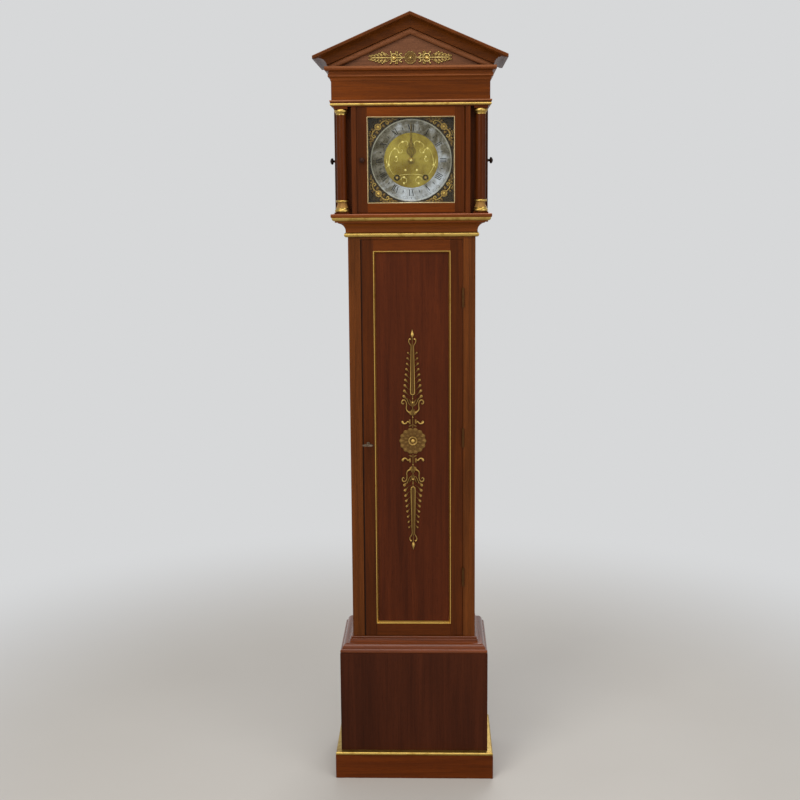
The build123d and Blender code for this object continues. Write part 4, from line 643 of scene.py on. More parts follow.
# painted highlights on the raking cornice's top fillet and bead
wood(
    "raking wood",
    (84, 41, 8),
    hood_grain,
    mark=painted_highlight_slope(APEX, SLOPE, *RAKING_HIGHLIGHTS),
    mark_colour=(116, 70, 42),
)
wood("tympanum wood", (115, 74, 50), level_grain, contrast=0.3)
plain_wood("pine", (146, 108, 68))
metal("gilt bead", (186, 156, 84), (148, 114, 52), (86, 60, 26), 0.28, wear=(0.45, 0.75))
metal("door gilt", (224, 184, 96), (186, 146, 66), (108, 76, 32), 0.26, wear=(0.5, 0.8))
metal("polished gilt", (240, 214, 160), (208, 174, 112), (124, 92, 50), 0.24, wear=(0.5, 0.8))
metal("brass", (206, 172, 96), (170, 136, 66), (110, 82, 38), 0.24)
metal("dark brass", (84, 56, 30), (62, 40, 22), (38, 24, 14), 0.45)
metal("cut brass", (228, 212, 132), (206, 186, 98), (160, 134, 58), 0.24)
metal("bright steel", (176, 176, 176), (136, 134, 130), (92, 84, 76), 0.26)
metal("dull steel", (132, 116, 98), (98, 84, 70), (60, 48, 38), 0.36)
metal("browned steel", (130, 108, 50), (98, 78, 34), (56, 42, 20), 0.4)
silvered("silvered ring", DIAL_Z)
turned_metal("brass centre", (168, 150, 68), (128, 106, 40), DIAL_Z, 0.34)
dark_ground("dial ground", (44, 34, 18), (92, 72, 36))
dark_ground("engraver's black", (14, 13, 13), (30, 28, 27))
painted_iron("painted iron")
gut_line("gut")
clear_glass("glass")
gilding("door casting gilt", PANEL_FACE, DOOR_RELIEF, (166, 128, 60), (226, 192, 112))
gilding("gable casting gilt", TYMPANUM_FACE, GABLE_RELIEF, (200, 168, 90), (238, 216, 146))
gilding("dial casting gilt", DIAL_FACE, DIAL_RELIEF, (158, 126, 58), (212, 182, 98))

FINISHED_NODES = {
    "plinth wood": ["plinth_boards"],
    "base wood": ["base_boards"],
    "base moulding wood": ["base_top_moulding"],
    "trunk wood": ["trunk_boards"],
    "trunk door wood": ["trunk_door_frame"],
    "trunk panel wood": ["trunk_door_panel"],
    "cove wood": ["throat_cove_moulding", "hood_base_moulding"],
    "hood wood": ["hood_front_frame"],
    "hood side wood in painted shade": ["hood_side_frames", "left_side_door", "right_side_door"],
    "hood door wood": ["hood_door_frame"],
    "column wood": ["columns"],
    "architrave wood": ["architrave_moulding"],
    "frieze wood": ["frieze_boards"],
    "cornice wood": ["cornice_moulding"],
    "raking wood": ["raking_cornice"],
    "tympanum wood": ["tympanum_board"],
    "pine": ["backboard", "roof_boards", "seat_board"],
    "gilt bead": ["column_mounts", "gilt_beads"],
    "door gilt": ["trunk_door_gilt_bead"],
    "polished gilt": ["hood_door_gilt_bead"],
    "brass": [
        "movement_frame",
        "bell",
        "going_barrel",
        "going_great_wheel",
        "centre_wheel",
        "third_wheel",
        "escape_wheel",
        "minute_wheel",
        "hour_wheel",
        "strike_barrel",
        "strike_great_wheel",
        "pendulum_bob",
        "rating_nut",
    ],
    "dark brass": ["case_hinges", "trunk_door_hinges"],
    "bright steel": ["pendulum_rod", "anchor", "strike_hammer", "trunk_door_lock", "lock_bolt"],
    "dull steel": ["key"],
    "silvered ring": ["chapter_ring"],
    "brass centre": ["dial_centre_disc"],
    "dial ground": ["dial_plate"],
    "painted iron": ["going_weight", "strike_weight"],
    "glass": ["hood_door_glass"],
}


def dress(node, finish):
    """Gives a CAD piece its finish."""
    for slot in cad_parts[node].material_slots:
        slot.link = "OBJECT"
        slot.material = FINISHES[finish]


for finish, nodes in FINISHED_NODES.items():
    for node in nodes:
        dress(node, finish)


# ---- softened edges
SOFT_EDGES = {
    "plinth_boards": 1.2,
    "base_boards": 1.0,
    "trunk_boards": 0.8,
    "trunk_door_frame": 0.9,
    "hood_front_frame": 0.6,
    "hood_side_frames": 0.8,
    "hood_door_frame": 0.7,
    "left_side_door": 0.8,
    "right_side_door": 0.8,
    "frieze_boards": 0.6,
    "seat_board": 1.0,
}
SHARP = math.radians(50)  # faces that meet more steeply have an edge between them


def soften(piece, width):
    """Rounds a board's sharp edges by width, in millimetres."""
    weld = piece.modifiers.new("joined faces", "WELD")
    weld.merge_threshold = 0.01 * MM
    edge = piece.modifiers.new("worn edges", "BEVEL")
    edge.width = width * MM
    edge.segments = 2
    edge.limit_method = "ANGLE"
    edge.angle_limit = SHARP


for node, width in SOFT_EDGES.items():
    soften(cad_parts[node], width)


# ---- carved and cast work
ROUND = [(math.cos(math.pi * i / 8), math.sin(math.pi * i / 8)) for i in range(9)]
VEINED = [(1, 0), (0.85, 0.42), (0.5, 0.62), (0.16, 0.6), (0, 1), (-0.16, 0.6), (-0.5, 0.62)]
VEINED += [(-0.85, 0.42), (-1, 0)]
FLAT = [(1, 0), (1, 0.6), (0.7, 1), (-0.7, 1), (-1, 0.6), (-1, 0)]
THINNEST = 0.05  # least half width and height of a bar


def curve(before, start, end, after, share):
    """Value at a share of the way from start to end, smooth with those before and after."""
    return 0.5 * (
        2 * start
        + (end - before) * share
        + (2 * before - 5 * start + 4 * end - after) * share * share
        + (3 * start - before - 3 * end + after) * share**3
    )


def smooth_path(points, steps):
    """Smooth line through the points; every number of a point is carried along."""
    ends = [points[0], *points, points[-1]]
    line = []
    for i in range(len(points) - 1):
        near = ends[i : i + 4]
        for k in range(steps):
            line.append(tuple(curve(*values, k / steps) for values in zip(*near)))
    line.append(tuple(points[-1]))
    return line


def skin(mesh, rings, capped=True):
    """Faces between neighbouring rings of points and, where capped, over the two ends."""
    for first, second in zip(rings, rings[1:]):
        for i in range(len(first)):
            j = (i + 1) % len(first)
            mesh.faces.new((first[i], first[j], second[j], second[i]))
    if capped:
        mesh.faces.new(rings[0])
        mesh.faces.new(rings[-1])


def made_piece(name, mesh, finish):
    """Object with smooth faces made of a bmesh, which it uses up."""
    bmesh.ops.recalc_face_normals(mesh, faces=mesh.faces)
    data = bpy.data.meshes.new(name)
    mesh.to_mesh(data)
    mesh.free()
    data.polygons.foreach_set("use_smooth", [True] * len(data.polygons))
    data.materials.append(FINISHES[finish])
    piece = bpy.data.objects.new(name, data)
    bpy.context.scene.collection.objects.link(piece)
    return piece


class Casting:
    """Ornament in relief on an upright face that looks to the front, in millimetres.

    Points are (x, z) from its middle; heights stand out from the face."""

    def __init__(self, name, middle, face):
        self.name = name
        self.middle = middle
        self.face = face
        self.mesh = bmesh.new()
        self.turn = 0.0
        self.flip = (1, 1)

    def vertex(self, x, z, height):
        x = x * self.flip[0]
        z = z * self.flip[1]
        c = math.cos(self.turn)
        s = math.sin(self.turn)
        at = (self.middle[0] + x * c - z * s, self.face - height, self.middle[1] + x * s + z * c)
        return self.mesh.verts.new(Vector(at) * MM)

    def bar(self, points, section=ROUND, steps=5):
        """Moulded bar along points (x, z, half width, height)."""
        line = smooth_path(points, steps) if steps > 1 else points
        rings = []
        for i, (x, z, width, height) in enumerate(line):
            before = line[max(i - 1, 0)]
            after = line[min(i + 1, len(line) - 1)]
            along = Vector((after[0] - before[0], after[1] - before[1])).normalized()
            width = max(width, THINNEST)
            height = max(height, THINNEST)
            ring = [
                self.vertex(x - along.y * across * width, z + along.x * across * width, up * height)
                for across, up in section
            ]
            rings.append(ring)
        skin(self.mesh, rings)

    def leaf(self, root, tip, width, height, bend=0.0):
        """Leaf from root to tip with a vein; bend throws its middle sideways."""
        along = Vector((tip[0] - root[0], tip[1] - root[1]))
        side = Vector((-along.y, along.x)) * bend
        points = []
        for share, wide, high in (
            (0.0, 0.25, 0.45), (0.225, 0.8, 0.85), (0.45, 1.0, 1.0),
            (0.725, 0.72, 0.9), (0.92, 0.25, 0.7), (1.0, 0.04, 0.45),
        ):
            lift = 4 * share * (1 - share)
            at = Vector(root) + along * share + side * lift
            points.append((at.x, at.y, wide * width, high * height))
        self.bar(points, VEINED, 3)

    def turned(self, profile, x=0.0, z=0.0, sides=24, hollow=False):
        """Round boss at (x, z) from a profile of (radius, height) points; hollow makes it a ring."""
        angles = [2 * math.pi * i / sides for i in range(sides)]
        rings = [
            [self.vertex(x + radius * math.cos(a), z + radius * math.sin(a), height) for a in angles]
            for radius, height in profile
        ]
        if hollow:
            rings.append(rings[0])
        skin(self.mesh, rings, not hollow)

    def turned_drop(self, x, low, high, half, height):
        """Bud: round below, drawn out to a point above."""
        length = high - low
        points = []
        for share, wide in (
            (0, 0.2), (0.12, 0.66), (0.32, 1), (0.55, 0.78), (0.8, 0.36), (1, 0.04),
        ):
            points.append((x, low + share * length, wide * half, (0.35 + 0.65 * wide) * height))
        self.bar(points, ROUND, 4)

    def pearl(self, x, z, radius, height):
        arc = [math.radians(a) for a in (0, 22, 45, 68, 86)]
        profile = [(radius * math.cos(a), height * math.sin(a)) for a in arc]
        self.turned(profile, x, z, 14)

    def both(self, draw):
        """Draws left and right, one the mirror of the other."""
        kept = self.flip
        for sign in (-1, 1):
            self.flip = (sign * kept[0], kept[1])
            draw()
        self.flip = kept

    def finished(self, finish, body, slot, *stands_for):
        """The piece itself, on its body, in place of the CAD nodes named."""
        piece = made_piece(self.name, self.mesh, finish)
        piece.data.set_sharp_from_angle(angle=SHARP)
        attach(piece, body)
        if stands_for:
            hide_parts(*stands_for)


# ---- ornament of the trunk door
def door_spray(work):
    """Upper half of the door's ornament; the lower half is its mirror."""
    work.bar([(0, 36, 1.6, 1.4), (0, 124, 1.8, 1.6)], ROUND, 1)
    work.pearl(0, 65, 2.4, 4.0)
    work.pearl(0, 105, 3.5, 4.8)
    work.pearl(0, 115.5, 2.0, 3.6)

    def bracket():
        work.bar([(7.6, 46.5, 2.4, 3.4), (7.9, 52, 2.7, 4.6), (7.6, 58.5, 2.5, 4.2)], VEINED)
        work.bar([
            (9, 50, 1.8, 2.8), (13.3, 53.2, 2.2, 3.6), (17.5, 48.6, 2.2, 3.6),
            (22, 47.4, 2.4, 3.8), (26.5, 49, 2.6, 4.2), (28.8, 52.4, 2.2, 4.2),
            (26.4, 54.8, 1.7, 4.0),
        ])
        work.pearl(25.4, 51.4, 2.5, 4.8)
        work.leaf((1, 45), (12, 40), 2.4, 3.0, -0.1)

    def lyre():
        work.leaf((1.5, 70), (9.5, 83), 3.4, 4.4, -0.1)
        work.leaf((2.5, 76), (14, 80), 2.6, 4.0, 0.12)
        work.leaf((1.0, 74), (3.4, 88), 2.4, 3.6, -0.08)
        work.bar([
            (8, 77, 2.2, 4.6), (14, 82, 2.2, 3.8), (17, 88, 1.9, 3.0), (16.2, 97, 1.9, 2.6),
            (17.5, 106, 2.0, 2.6), (22, 111.4, 2.1, 3.0), (27.6, 109.6, 2.2, 3.2),
            (29, 103.6, 2.0, 3.0), (25.6, 100.6, 1.7, 2.8), (23.4, 103.6, 1.3, 2.8),
        ])
        work.leaf((3, 92), (12, 116), 2.2, 3.2, 0.12)
        work.bar([(2, 96, 1.0, 2.0), (8, 99, 1.2, 2.4), (13, 108, 1.2, 2.6), (15.5, 116, 1.4, 3.0)])

    def leaflets():
        for i in range(9):
            tip = 124.0 + 14.5 * i
            wide = 26.4 - 1.62 * i
            size = 1 - 0.045 * i
            work.bar(
                [
                    (min(5.2, wide - 9 * size), tip - 17 * size, 0.7, 1.2),
                    (wide - 13.5 * size, tip - 13.5 * size, 0.9 * size, 1.8),
                    (wide - 8 * size, tip - 8 * size, 1.9 * size, 2.8),
                    (wide - 4 * size, tip - 3.6 * size, 3.9 * size, 4.6),
                    (wide - 1.6 * size, tip - 1.2 * size, 3.7 * size, 5.2),
                    (wide, tip + 0.2, 1.1 * size, 3.4),
                ],
                VEINED,
                4,
            )

    def lancet():
        work.bar([
            (0, 125.6, 1.8, 3.0), (3.6, 127.4, 1.9, 3.6), (5.3, 133, 1.8, 3.8),
            (5.0, 165, 1.7, 3.8), (4.4, 205, 1.5, 3.6), (3.8, 240, 1.3, 3.2),
            (3.4, 256, 1.2, 3.0), (6.4, 262, 1.3, 3.0), (9.2, 267.6, 1.4, 3.4),
            (8.6, 274, 1.7, 4.0), (5.6, 276.6, 1.8, 4.4), (4.6, 273.4, 1.3, 4.0),
        ])
        work.pearl(6.4, 275, 2.2, 4.8)

    for half in (bracket, lyre, leaflets, lancet):
        work.both(half)
    work.bar([(0, 126, 3.6, 0.9), (0, 200, 3.2, 0.9), (0, 262, 2.4, 1.0)], ROUND, 1)
    work.bar([(0, 262, 1.2, 1.4), (0, 281, 1.3, 2.6)], ROUND, 1)
    work.turned_drop(0, 279, 302, 4.8, 4.8)


def petal_ring(work, count, inner, outer, height, shift=0.0):
    """Ring of veined leaves that point outwards."""
    slim = 0.9 * math.pi * (inner + outer) / 2 / count
    for i in range(count):
        angle = 2 * math.pi * (i + shift) / count
        c = math.cos(angle)
        s = math.sin(angle)
        points = []
        for share, wide, high in (
            (0.0, 0.5, 0.35), (0.3, 0.85, 0.7), (0.65, 1.0, 1.0), (0.88, 0.72, 0.85),
            (1.0, 0.2, 0.4),
        ):
            reach = inner + (outer - inner) * share
            points.append((reach * c, reach * s, wide * slim, high * height))
        work.bar(points, VEINED, 4)


def rosette(work, radius, petals, height):
    """Round flower: two rings of leaves round a hollow cup with a boss."""
    work.turned(
        [
            (0.93 * radius, 0.0), (0.92 * radius, 0.3 * height), (0.66 * radius, 0.2 * height),
            (0.3 * radius, 0.16 * height), (0.05, 0.16 * height),
        ],
        sides=48,
    )
    petal_ring(work, petals, 0.64 * radius, radius, 0.72 * height)
    petal_ring(work, petals - 2, 0.3 * radius, 0.66 * radius, 0.56 * height, 0.5)
    work.turned(
        [
            (0.34 * radius, 0.15 * height), (0.33 * radius, 0.62 * height),
            (0.3 * radius, 0.74 * height), (0.26 * radius, 0.6 * height),
            (0.22 * radius, 0.3 * height), (0.05, 0.26 * height),
        ],
        sides=36,
    )
    work.turned([
        (0.15 * radius, 0.2 * height), (0.14 * radius, 0.7 * height),
        (0.1 * radius, 0.98 * height), (0.05 * radius, 1.08 * height), (0.02, 1.1 * height),
    ])


DOOR_ORNAMENT_Z = 934.4
door_work = Casting("door_ornament_casting", (0.0, DOOR_ORNAMENT_Z), PANEL_FACE)
for side in (1, -1):
    door_work.flip = (1, side)
    door_spray(door_work)
door_work.flip = (1, 1)
rosette(door_work, 36.5, 14, 4.2)
door_work.finished("door casting gilt", "trunk_door", "gilt", "trunk_door_ornament")

# ---- ornament of the gable
GABLE_ORNAMENT_Z = 1930.0
gable_work = Casting("gable_ornament_casting", (0.0, GABLE_ORNAMENT_Z), TYMPANUM_FACE)
rosette(gable_work, 17.0, 10, 4.0)


def gable_wing():
    """Collar, pair of scrolls and pointed leaf on one side of the gable's rosette."""
    work = gable_work
    work.bar([(15, 0, 2.0, 2.2), (30, 0, 2.4, 2.4), (66, 0, 2.2, 2.4)], ROUND, 1)
    for up in (-1, 1):
        work.bar([
            (20, up * 1.5, 1.4, 2.6), (25, up * 4, 1.7, 3.0), (27, up * 8, 1.7, 3.2),
            (23, up * 11, 1.6, 3.4), (20, up * 9, 1.3, 3.4),
        ])
        work.leaf((28, up * 2), (33, up * 14.5), 2.2, 3.4, -0.12 * up)
        work.bar([
            (33, up * 2.0, 1.4, 2.4), (37, up * 8.5, 1.9, 3.2), (45, up * 9.0, 2.0, 3.4),
            (49, up * 4.5, 1.7, 3.4), (45, up * 2.4, 1.3, 3.2),
        ])
        work.leaf((39, up * 8), (37, up * 15), 2.2, 3.6, 0.1 * up)
        work.leaf((45, up * 8), (50, up * 15.5), 2.4, 3.8, -0.1 * up)
        work.leaf((50, up * 5), (60, up * 9.5), 1.9, 3.0, -0.14 * up)
        for i in range(5):
            out = 64 + 8.2 * i
            tall = 14.5 - 2.3 * i
            work.leaf((out - 2, up * 1.0), (out + 8.5, up * tall), 3.8 - 0.3 * i, 3.8, 0.12 * up)
            work.pearl(out + 7.4, up * (tall - 1.0), 2.9 - 0.22 * i, 4.4)
        work.pearl(22.5, up * 10.5, 2.6, 4.2)
        work.pearl(33, up * 13.5, 2.6, 4.4)
        work.pearl(50, up * 14, 2.9, 4.6)
        work.pearl(37, up * 14.5, 2.2, 4.4)
        work.pearl(60, up * 9, 2.2, 4.2)
    work.turned([(6.0, 0.0), (5.8, 2.6), (4.6, 3.6), (3.4, 2.4), (2.0, 3.8), (0.02, 4.2)], x=42)
    work.pearl(57, 0, 2.8, 4.0)
    work.bar([(62, 0, 2.2, 3.0), (78, 0, 2.4, 3.8), (96, 0, 1.6, 3.4), (105, 0, 0.4, 1.6)])


gable_work.both(gable_wing)
gable_work.finished("gable casting gilt", "case", "gilt", "tympanum_ornament")

# ---- dial
SPANDREL_EDGE = 114.0
ROUNDEL = 85.0  # across and up from the dial's middle to the flower in each corner
ROUNDEL_LOBES = 9
spandrel_work = Casting("dial_spandrel_castings", (0.0, DIAL_Z), DIAL_FACE)


def spandrel_half(work, swap):
    """Half of a corner casting; with swap its mirror over the corner's diagonal."""

    def place(a, b, *rest):
        if swap:
            a, b = b, a
        return (SPANDREL_EDGE - a, SPANDREL_EDGE - b, *rest)

    def leaf(root, tip, width, height, bend):
        work.leaf(place(*root), place(*tip), width, height, -bend if swap else bend)

    def bar(points):
        work.bar([place(*point) for point in points])

    def pearl(a, b, radius, height):
        work.pearl(*place(a, b), radius, height)

    bar([
        (34, 24, 2.2, 1.8), (41, 16, 2.6, 2.2), (50, 13, 2.6, 2.4), (56, 17, 2.3, 2.4),
        (54, 22, 1.9, 2.4), (50, 20.5, 1.4, 2.4),
    ])
    pearl(50, 18.5, 2.6, 2.6)
    leaf((40, 22), (48, 29.5), 3.9, 2.6, 0.1)
    leaf((44, 13), (41, 3.2), 3.8, 2.6, -0.1)
    leaf((52, 13), (50, 3.4), 3.6, 2.6, -0.08)
    leaf((55, 15), (68, 11), 3.9, 2.8, 0.1)
    leaf((54, 13), (61, 4), 3.5, 2.6, 0.08)
    leaf((61, 12), (72, 5), 3.2, 2.6, 0.08)
    leaf((66, 10), (81, 7), 3.0, 2.4, 0.06)
    leaf((38, 17), (34, 9), 3.2, 2.4, -0.1)
    pearl(66, 7.4, 2.2, 2.8)
    pearl(57.5, 9.5, 2.2, 2.8)
    pearl(45.5, 6.5, 2.2, 2.8)


for turn in range(4):
    spandrel_work.turn = turn * math.pi / 2
    for swap in (False, True):
        spandrel_half(spandrel_work, swap)
    spandrel_work.turned(
        [(9.4, 0.0), (9.0, 1.4), (7.2, 2.2), (5.2, 1.4), (3.8, 1.5), (2.6, 2.6), (0.02, 3.0)],
        ROUNDEL,
        ROUNDEL,
    )
    for lobe in range(ROUNDEL_LOBES):
        angle = lobe * 2 * math.pi / ROUNDEL_LOBES
        lobe_x = ROUNDEL + 7.4 * math.cos(angle)
        lobe_z = ROUNDEL + 7.4 * math.sin(angle)
        spandrel_work.pearl(lobe_x, lobe_z, 1.9, 2.8)
spandrel_work.turn = 0.0
spandrel_work.finished("dial casting gilt", "case", "brass", "dial_spandrels")


# ---- numerals and minute track
NUMERALS = ["XII", "I", "II", "III", "IIII", "V", "VI", "VII", "VIII", "IX", "X", "XI"]
NUMERAL_LOW = 74.5
NUMERAL_HIGH = 90.5
LETTER_WIDTH = {"I": 4.3, "V": 8.6, "X": 8.6}
INK = 0.12  # thickness of the black in the ring's engraving
HALF_HOUR_MARK = (77, 82, 87)  # its ends and its widest place, out from the middle
MINUTE_MARK = (94.5, 98.5)
INNER_MARK = (71.9, 73.2)
CIRCLES = (73.3, 94.4, 98.6, 104.2)
CIRCLE_HALF = 0.14
INKED = [(1, 0), (1, 1), (-1, 1), (-1, 0)]


def stroke(work, ends, widths):
    """Flat stroke between two points (x, z) with a half width at each."""
    (x0, z0), (x1, z1) = ends
    work.bar([(x0, z0, widths[0], INK), (x1, z1, widths[1], INK)], INKED, 1)


def radial(work, low, high, start, end):
    """Stroke straight out from the middle, between two radii, with a half width at each."""
    stroke(work, ((0, low), (0, high)), (start, end))


def letter(work, sign, left, low, high):
    """One letter of a numeral, its left edge at left, standing between low and high."""
    wide = LETTER_WIDTH[sign]
    right = left + wide
    middle = left + wide / 2
    if sign == "I":
        stroke(work, ((middle, low), (middle, high)), (1.0, 1.0))
    elif sign == "V":
        stroke(work, ((left + 1.3, high), (middle, low)), (1.1, 0.9))
        stroke(work, ((right - 1.3, high), (middle, low)), (0.3, 0.3))
    else:
        stroke(work, ((left + 1.2, high), (right - 1.2, low)), (1.1, 1.1))
        stroke(work, ((right - 1.2, high), (left + 1.2, low)), (0.3, 0.3))
    for end in (low, high):
        stroke(work, ((left + 0.2, end), (right - 0.2, end)), (0.22, 0.22))


numeral_work = Casting("chapter_ring_numerals", (0.0, DIAL_Z), RING_FACE)
for hour, word in enumerate(NUMERALS):
    numeral_work.turn = -hour * math.pi / 6
    start = -sum(LETTER_WIDTH[sign] for sign in word) / 2
    for sign in word:
        letter(numeral_work, sign, start, NUMERAL_LOW, NUMERAL_HIGH)
        start += LETTER_WIDTH[sign]
    numeral_work.turn = -(hour + 0.5) * math.pi / 6
    radial(numeral_work, *HALF_HOUR_MARK[:2], 0.1, 1.1)
    radial(numeral_work, *HALF_HOUR_MARK[1:], 1.1, 0.1)
for minute in range(60):
    numeral_work.turn = -minute * math.pi / 30
    bold = 0.45 if minute % 5 == 0 else 0.2
    radial(numeral_work, *MINUTE_MARK, bold, bold)
    radial(numeral_work, *INNER_MARK, 0.16, 0.16)
numeral_work.turn = 0.0
for radius in CIRCLES:
    low = radius - CIRCLE_HALF
    high = radius + CIRCLE_HALF
    numeral_work.turned([(low, 0.0), (low, INK), (high, INK), (high, 0.0)], sides=120, hollow=True)
numeral_work.finished("engraver's black", "case", "blued_steel")

# ---- winding collars and engraving
collar_work = Casting("winding_collars", (0.0, WINDING_Z), DISC_FACE)
for side in (-1, 1):
    collar_work.turned(
        [(7.6, 0.0), (7.5, 0.5), (7.0, 0.8), (6.5, 0.7), (6.1, 0.2), (6.1, 0.0)],
        x=side * WINDING_X,
        sides=40,
        hollow=True,
    )
collar_work.finished("engraver's black", "case", "blued_steel")

SCROLL_RISE = 0.2  # how far the bright cuts stand from the disc
DOT_RISE = 0.45
engraving = Casting("dial_centre_engraving", (0.0, DIAL_Z), DISC_FACE)


def engraved_half():
    """One side of the scrolled cartouche round the centre."""
    scrolls = [
        [(44, -38), (50, -30), (56, -20), (58, -12), (57, 0), (55, 12), (49, 25), (42, 30)],
        [(42, 30), (36, 28), (32, 20), (26, 19), (22, 24), (25, 29)],
        [(30, -38), (20, -36.5), (10, -35.5), (0, -35)],
        [(38, 9), (35, 3), (38, -3), (43, 0)],
        [(22, 47), (29, 43), (33, 36), (30, 30)],
        [(22, 47), (13, 49), (8, 43), (11, 38)],
        [(18, -43), (12, -48), (13, -56), (20, -58)],
        [(27, -50), (24, -44), (18, -43)],
        [(58, -12), (63, -6), (64, 4)],
        [(58, -12), (64, -18)],
    ]
    for line in scrolls:
        points = []
        for i, (x, z) in enumerate(line):
            wide = 0.15 + 0.36 * math.sin(math.pi * (i + 0.5) / len(line))
            points.append((x, z, wide, SCROLL_RISE))
        engraving.bar(points, FLAT, 4)
    for x, z, radius in (
        (21.8, 46.6, 2.5), (42.3, 29.7, 2.75), (38, 9, 2.5), (58, -12, 2.875),
        (14.7, -25, 2.625), (18.4, -43, 2.5), (19, -58.5, 2.625), (32, 20, 2.0),
    ):
        engraving.pearl(x, z, radius, DOT_RISE)


engraving.both(engraved_half)
engraving.finished("cut brass", "case", "brass")

# ---- hands
HOUR_SEAT = -67.4
MINUTE_SEAT = -70.0
HAND_THICK = 1.2


def hub(work, radius, bore):
    """Round middle of a hand, with its hole."""
    work.turned(
        [
            (bore, 0.0), (radius, 0.0), (radius, 0.7 * HAND_THICK), (radius - 0.5, HAND_THICK),
            (bore, HAND_THICK),
        ],
        sides=40,
        hollow=True,
    )


def hand_bar(work, points, steps=5):
    """Flat bar of a hand along points (x, z, half width)."""
    work.bar([(*point, HAND_THICK) for point in points], FLAT, steps)


hour_work = Casting("hour_hand_pierced", (0.0, DIAL_Z), HOUR_SEAT)
hub(hour_work, 8.6, 4.3)


def hour_side():
    hand_bar(hour_work, [
        (2.4, 7.5, 1.2), (3.2, 13, 1.1), (8.6, 18, 1.2), (10.2, 25, 1.4), (7.2, 31, 1.3),
        (3.4, 33, 1.1), (3.0, 28.5, 0.9), (5.6, 26.5, 0.8),
    ])
    hand_bar(hour_work, [(3.4, 33, 1.0), (5.4, 38, 1.0), (3.6, 43, 1.0), (0.6, 45, 1.0)])


hour_work.both(hour_side)
hand_bar(hour_work, [(0, 7.5, 1.8), (0, 14, 1.2), (0, 34, 1.0)], 1)
hand_bar(hour_work, [(0, 43, 1.2), (0, 49, 3.2), (0, 55, 1.9), (0, 64, 0.2)], 3)
hour_work.finished("browned steel", "hour_train", "blued_steel", "hour_hand")

minute_work = Casting("minute_hand_pierced", (0.0, DIAL_Z), MINUTE_SEAT)
hub(minute_work, 6.6, 0.4)


def minute_side():
    hand_bar(minute_work, [
        (1.6, 5.5, 0.9), (2.0, 11, 0.8), (4.6, 16, 0.9), (5.2, 22, 0.9), (2.6, 29, 0.8),
        (0.5, 33, 0.8),
    ])


minute_work.both(minute_side)
hand_bar(minute_work, [(0, 30, 1.1), (0, 40, 1.7), (0, 52, 1.2), (0, 80, 1.0), (0, 97, 0.3)], 3)
minute_work.finished("browned steel", "minute_train", "blued_steel", "minute_hand")

nut_work = Casting("hand_nut_polished", (0.0, DIAL_Z), MINUTE_SEAT - HAND_THICK)
nut_work.turned([(3.4, 0.0), (3.3, 0.9), (2.7, 1.5), (1.5, 1.75), (0.02, 1.8)])
nut_work.finished("cut brass", "minute_train", "brass")

# ---- driving lines
LINE_PITCH = 8.0
STEPS_A_TURN = 6
STRANDS = 3
LINE_SIDES = 12


def driving_line(name, node):
    """Twisted line from its barrel down to its weight."""
    low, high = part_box(node)
    x = (low[0] + high[0]) / 2
    y = (low[1] + high[1]) / 2
    radius = (high[0] - low[0]) / 2
    turns = (high[2] - low[2]) / (LINE_PITCH * MM)
    count = round(turns * STEPS_A_TURN)
    mesh = bmesh.new()
    rings = []
    for i in range(count + 1):
        share = i / count
        z = high[2] + (low[2] - high[2]) * share
        twist = 2 * math.pi * turns * share / STRANDS
        ring = []
        for k in range(LINE_SIDES):
            angle = 2 * math.pi * k / LINE_SIDES
            reach = radius * (0.86 + 0.14 * math.cos(STRANDS * (angle - twist)))
            at = (x + reach * math.cos(angle), y + reach * math.sin(angle), z)
            ring.append(mesh.verts.new(at))
        rings.append(ring)
    skin(mesh, rings)
    line = made_piece(name, mesh, "gut")
    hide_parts(node)
    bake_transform(line)


driving_line("going_line_twisted", "going_line")
driving_line("strike_line_twisted", "strike_line")

# ---- lights, floor and camera
FLOOR_PALE = shade(200, 195, 188)
BACKDROP_PALE = shade(215, 216, 217)
FLOOR_RADIUS = 12.0
FLOOR_SIDES = 64
FADE_FROM = 0.9  # the floor goes into the backdrop between these two distances
FADE_TO = 2.4


def floor_finish():
    """Pale floor that fades into the backdrop's colour far from the clock."""
    finish = Finish("pale floor")
    x, y, z = finish.axes()
    away = finish.fade((x * x + y * y).power(0.5), FADE_FROM, FADE_TO)
    cloud = finish.noise(finish.place(), 3.0, 4.0, 0.5)
    ground = finish.mix(cloud * 0.3, FLOOR_PALE, shade(188, 183, 176))
    floor = finish.surface(Base_Color=ground, Roughness=0.55 + cloud * 0.1)
    glow = finish.node("Emission", None, {"Color": BACKDROP_PALE, "Strength": 1.0}).outputs[0]
    return finish.done(finish.mix_shaders(away, floor, glow))


def make_floor():
    """Round floor, far wider than the clock."""
    data = bpy.data.meshes.new("floor")
    angles = [2 * math.pi * i / FLOOR_SIDES for i in range(FLOOR_SIDES)]
    ring = [(FLOOR_RADIUS * math.cos(a), FLOOR_RADIUS * math.sin(a), 0.0) for a in angles]
    data.from_pydata(ring, [], [list(range(FLOOR_SIDES))])
    data.materials.append(floor_finish())
    floor = bpy.data.objects.new("floor", data)
    bpy.context.scene.collection.objects.link(floor)


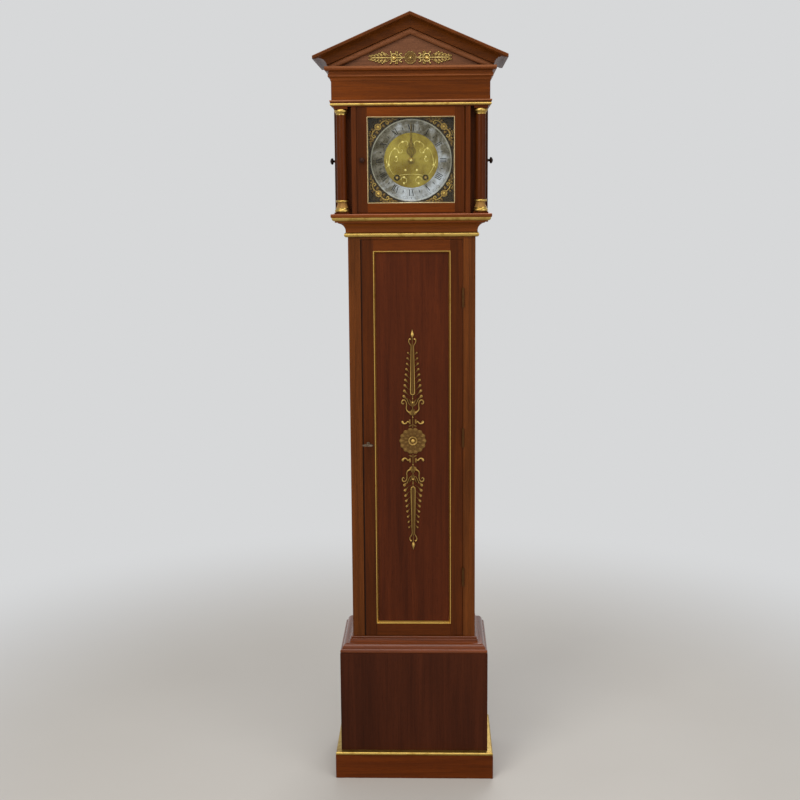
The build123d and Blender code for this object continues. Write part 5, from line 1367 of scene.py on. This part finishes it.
def make_world():
    """Even light from all round; the eye, mirrors and glass see the pale backdrop."""
    room = Finish("room", "worlds")
    bpy.context.scene.world = room.made
    rays = room.node("LightPath").outputs
    seen = Amount(room, rays["Is Camera Ray"])
    for ray in ("Is Glossy Ray", "Is Transmission Ray"):
        seen = seen.reckon("MAXIMUM", seen, rays[ray])
    plain = room.node("Background", None, {"Color": (0.93, 0.96, 1.0, 1.0), "Strength": 0.34})
    pale = room.node("Background", None, {"Color": BACKDROP_PALE, "Strength": 1.0})
    shown = room.mix_shaders(seen, plain.outputs[0], pale.outputs[0])
    room.node("OutputWorld", None, {"Surface": shown})


def make_lamp(name, place, aim, size, watts, colour):
    """Square soft lamp at place, turned to aim."""
    data = bpy.data.lights.new(name, "AREA")
    data.shape = "SQUARE"
    data.size = size
    data.energy = watts
    data.color = colour
    lamp = bpy.data.objects.new(name, data)
    lamp.location = place
    lamp.rotation_mode = "QUATERNION"
    lamp.rotation_quaternion = (Vector(aim) - Vector(place)).to_track_quat("-Z", "Y")
    bpy.context.scene.collection.objects.link(lamp)


def make_camera():
    """Camera at eye height, a little to the right of the clock's middle and turned to its left."""
    place = Matrix.Translation((0.055, -3.2105, 1.588))
    left = Matrix.Rotation(math.radians(1.6), 4, "Z")
    down = Matrix.Rotation(math.radians(90 - 8.6), 4, "X")  # unturned, it looks straight down
    lean = Matrix.Rotation(math.radians(-0.42), 4, "Z")
    data = bpy.data.cameras.new("camera")
    data.sensor_width = 36.0
    data.lens = 54.0
    data.shift_y = -0.03
    camera = bpy.data.objects.new("camera", data)
    camera.matrix_world = place @ left @ down @ lean
    bpy.context.scene.collection.objects.link(camera)
    bpy.context.scene.camera = camera


make_floor()
make_world()
make_lamp("ceiling lamp", (0.0, -1.5, 3.7), (0.0, 0.0, 0.9), 2.4, 48, (1.0, 0.98, 0.95))
make_lamp("key lamp", (-1.9, -2.9, 2.6), (0.0, 0.0, 0.9), 1.8, 52, (1.0, 0.97, 0.92))
make_lamp("fill lamp", (2.6, -2.4, 1.5), (0.0, 0.0, 0.8), 1.8, 28, (1.0, 0.98, 0.96))
make_lamp("back lamp", (0.6, 2.8, 2.9), (0.0, 0.0, 1.1), 1.8, 36, (1.0, 1.0, 1.0))
make_camera()
bpy.context.scene.view_settings.view_transform = "Standard"
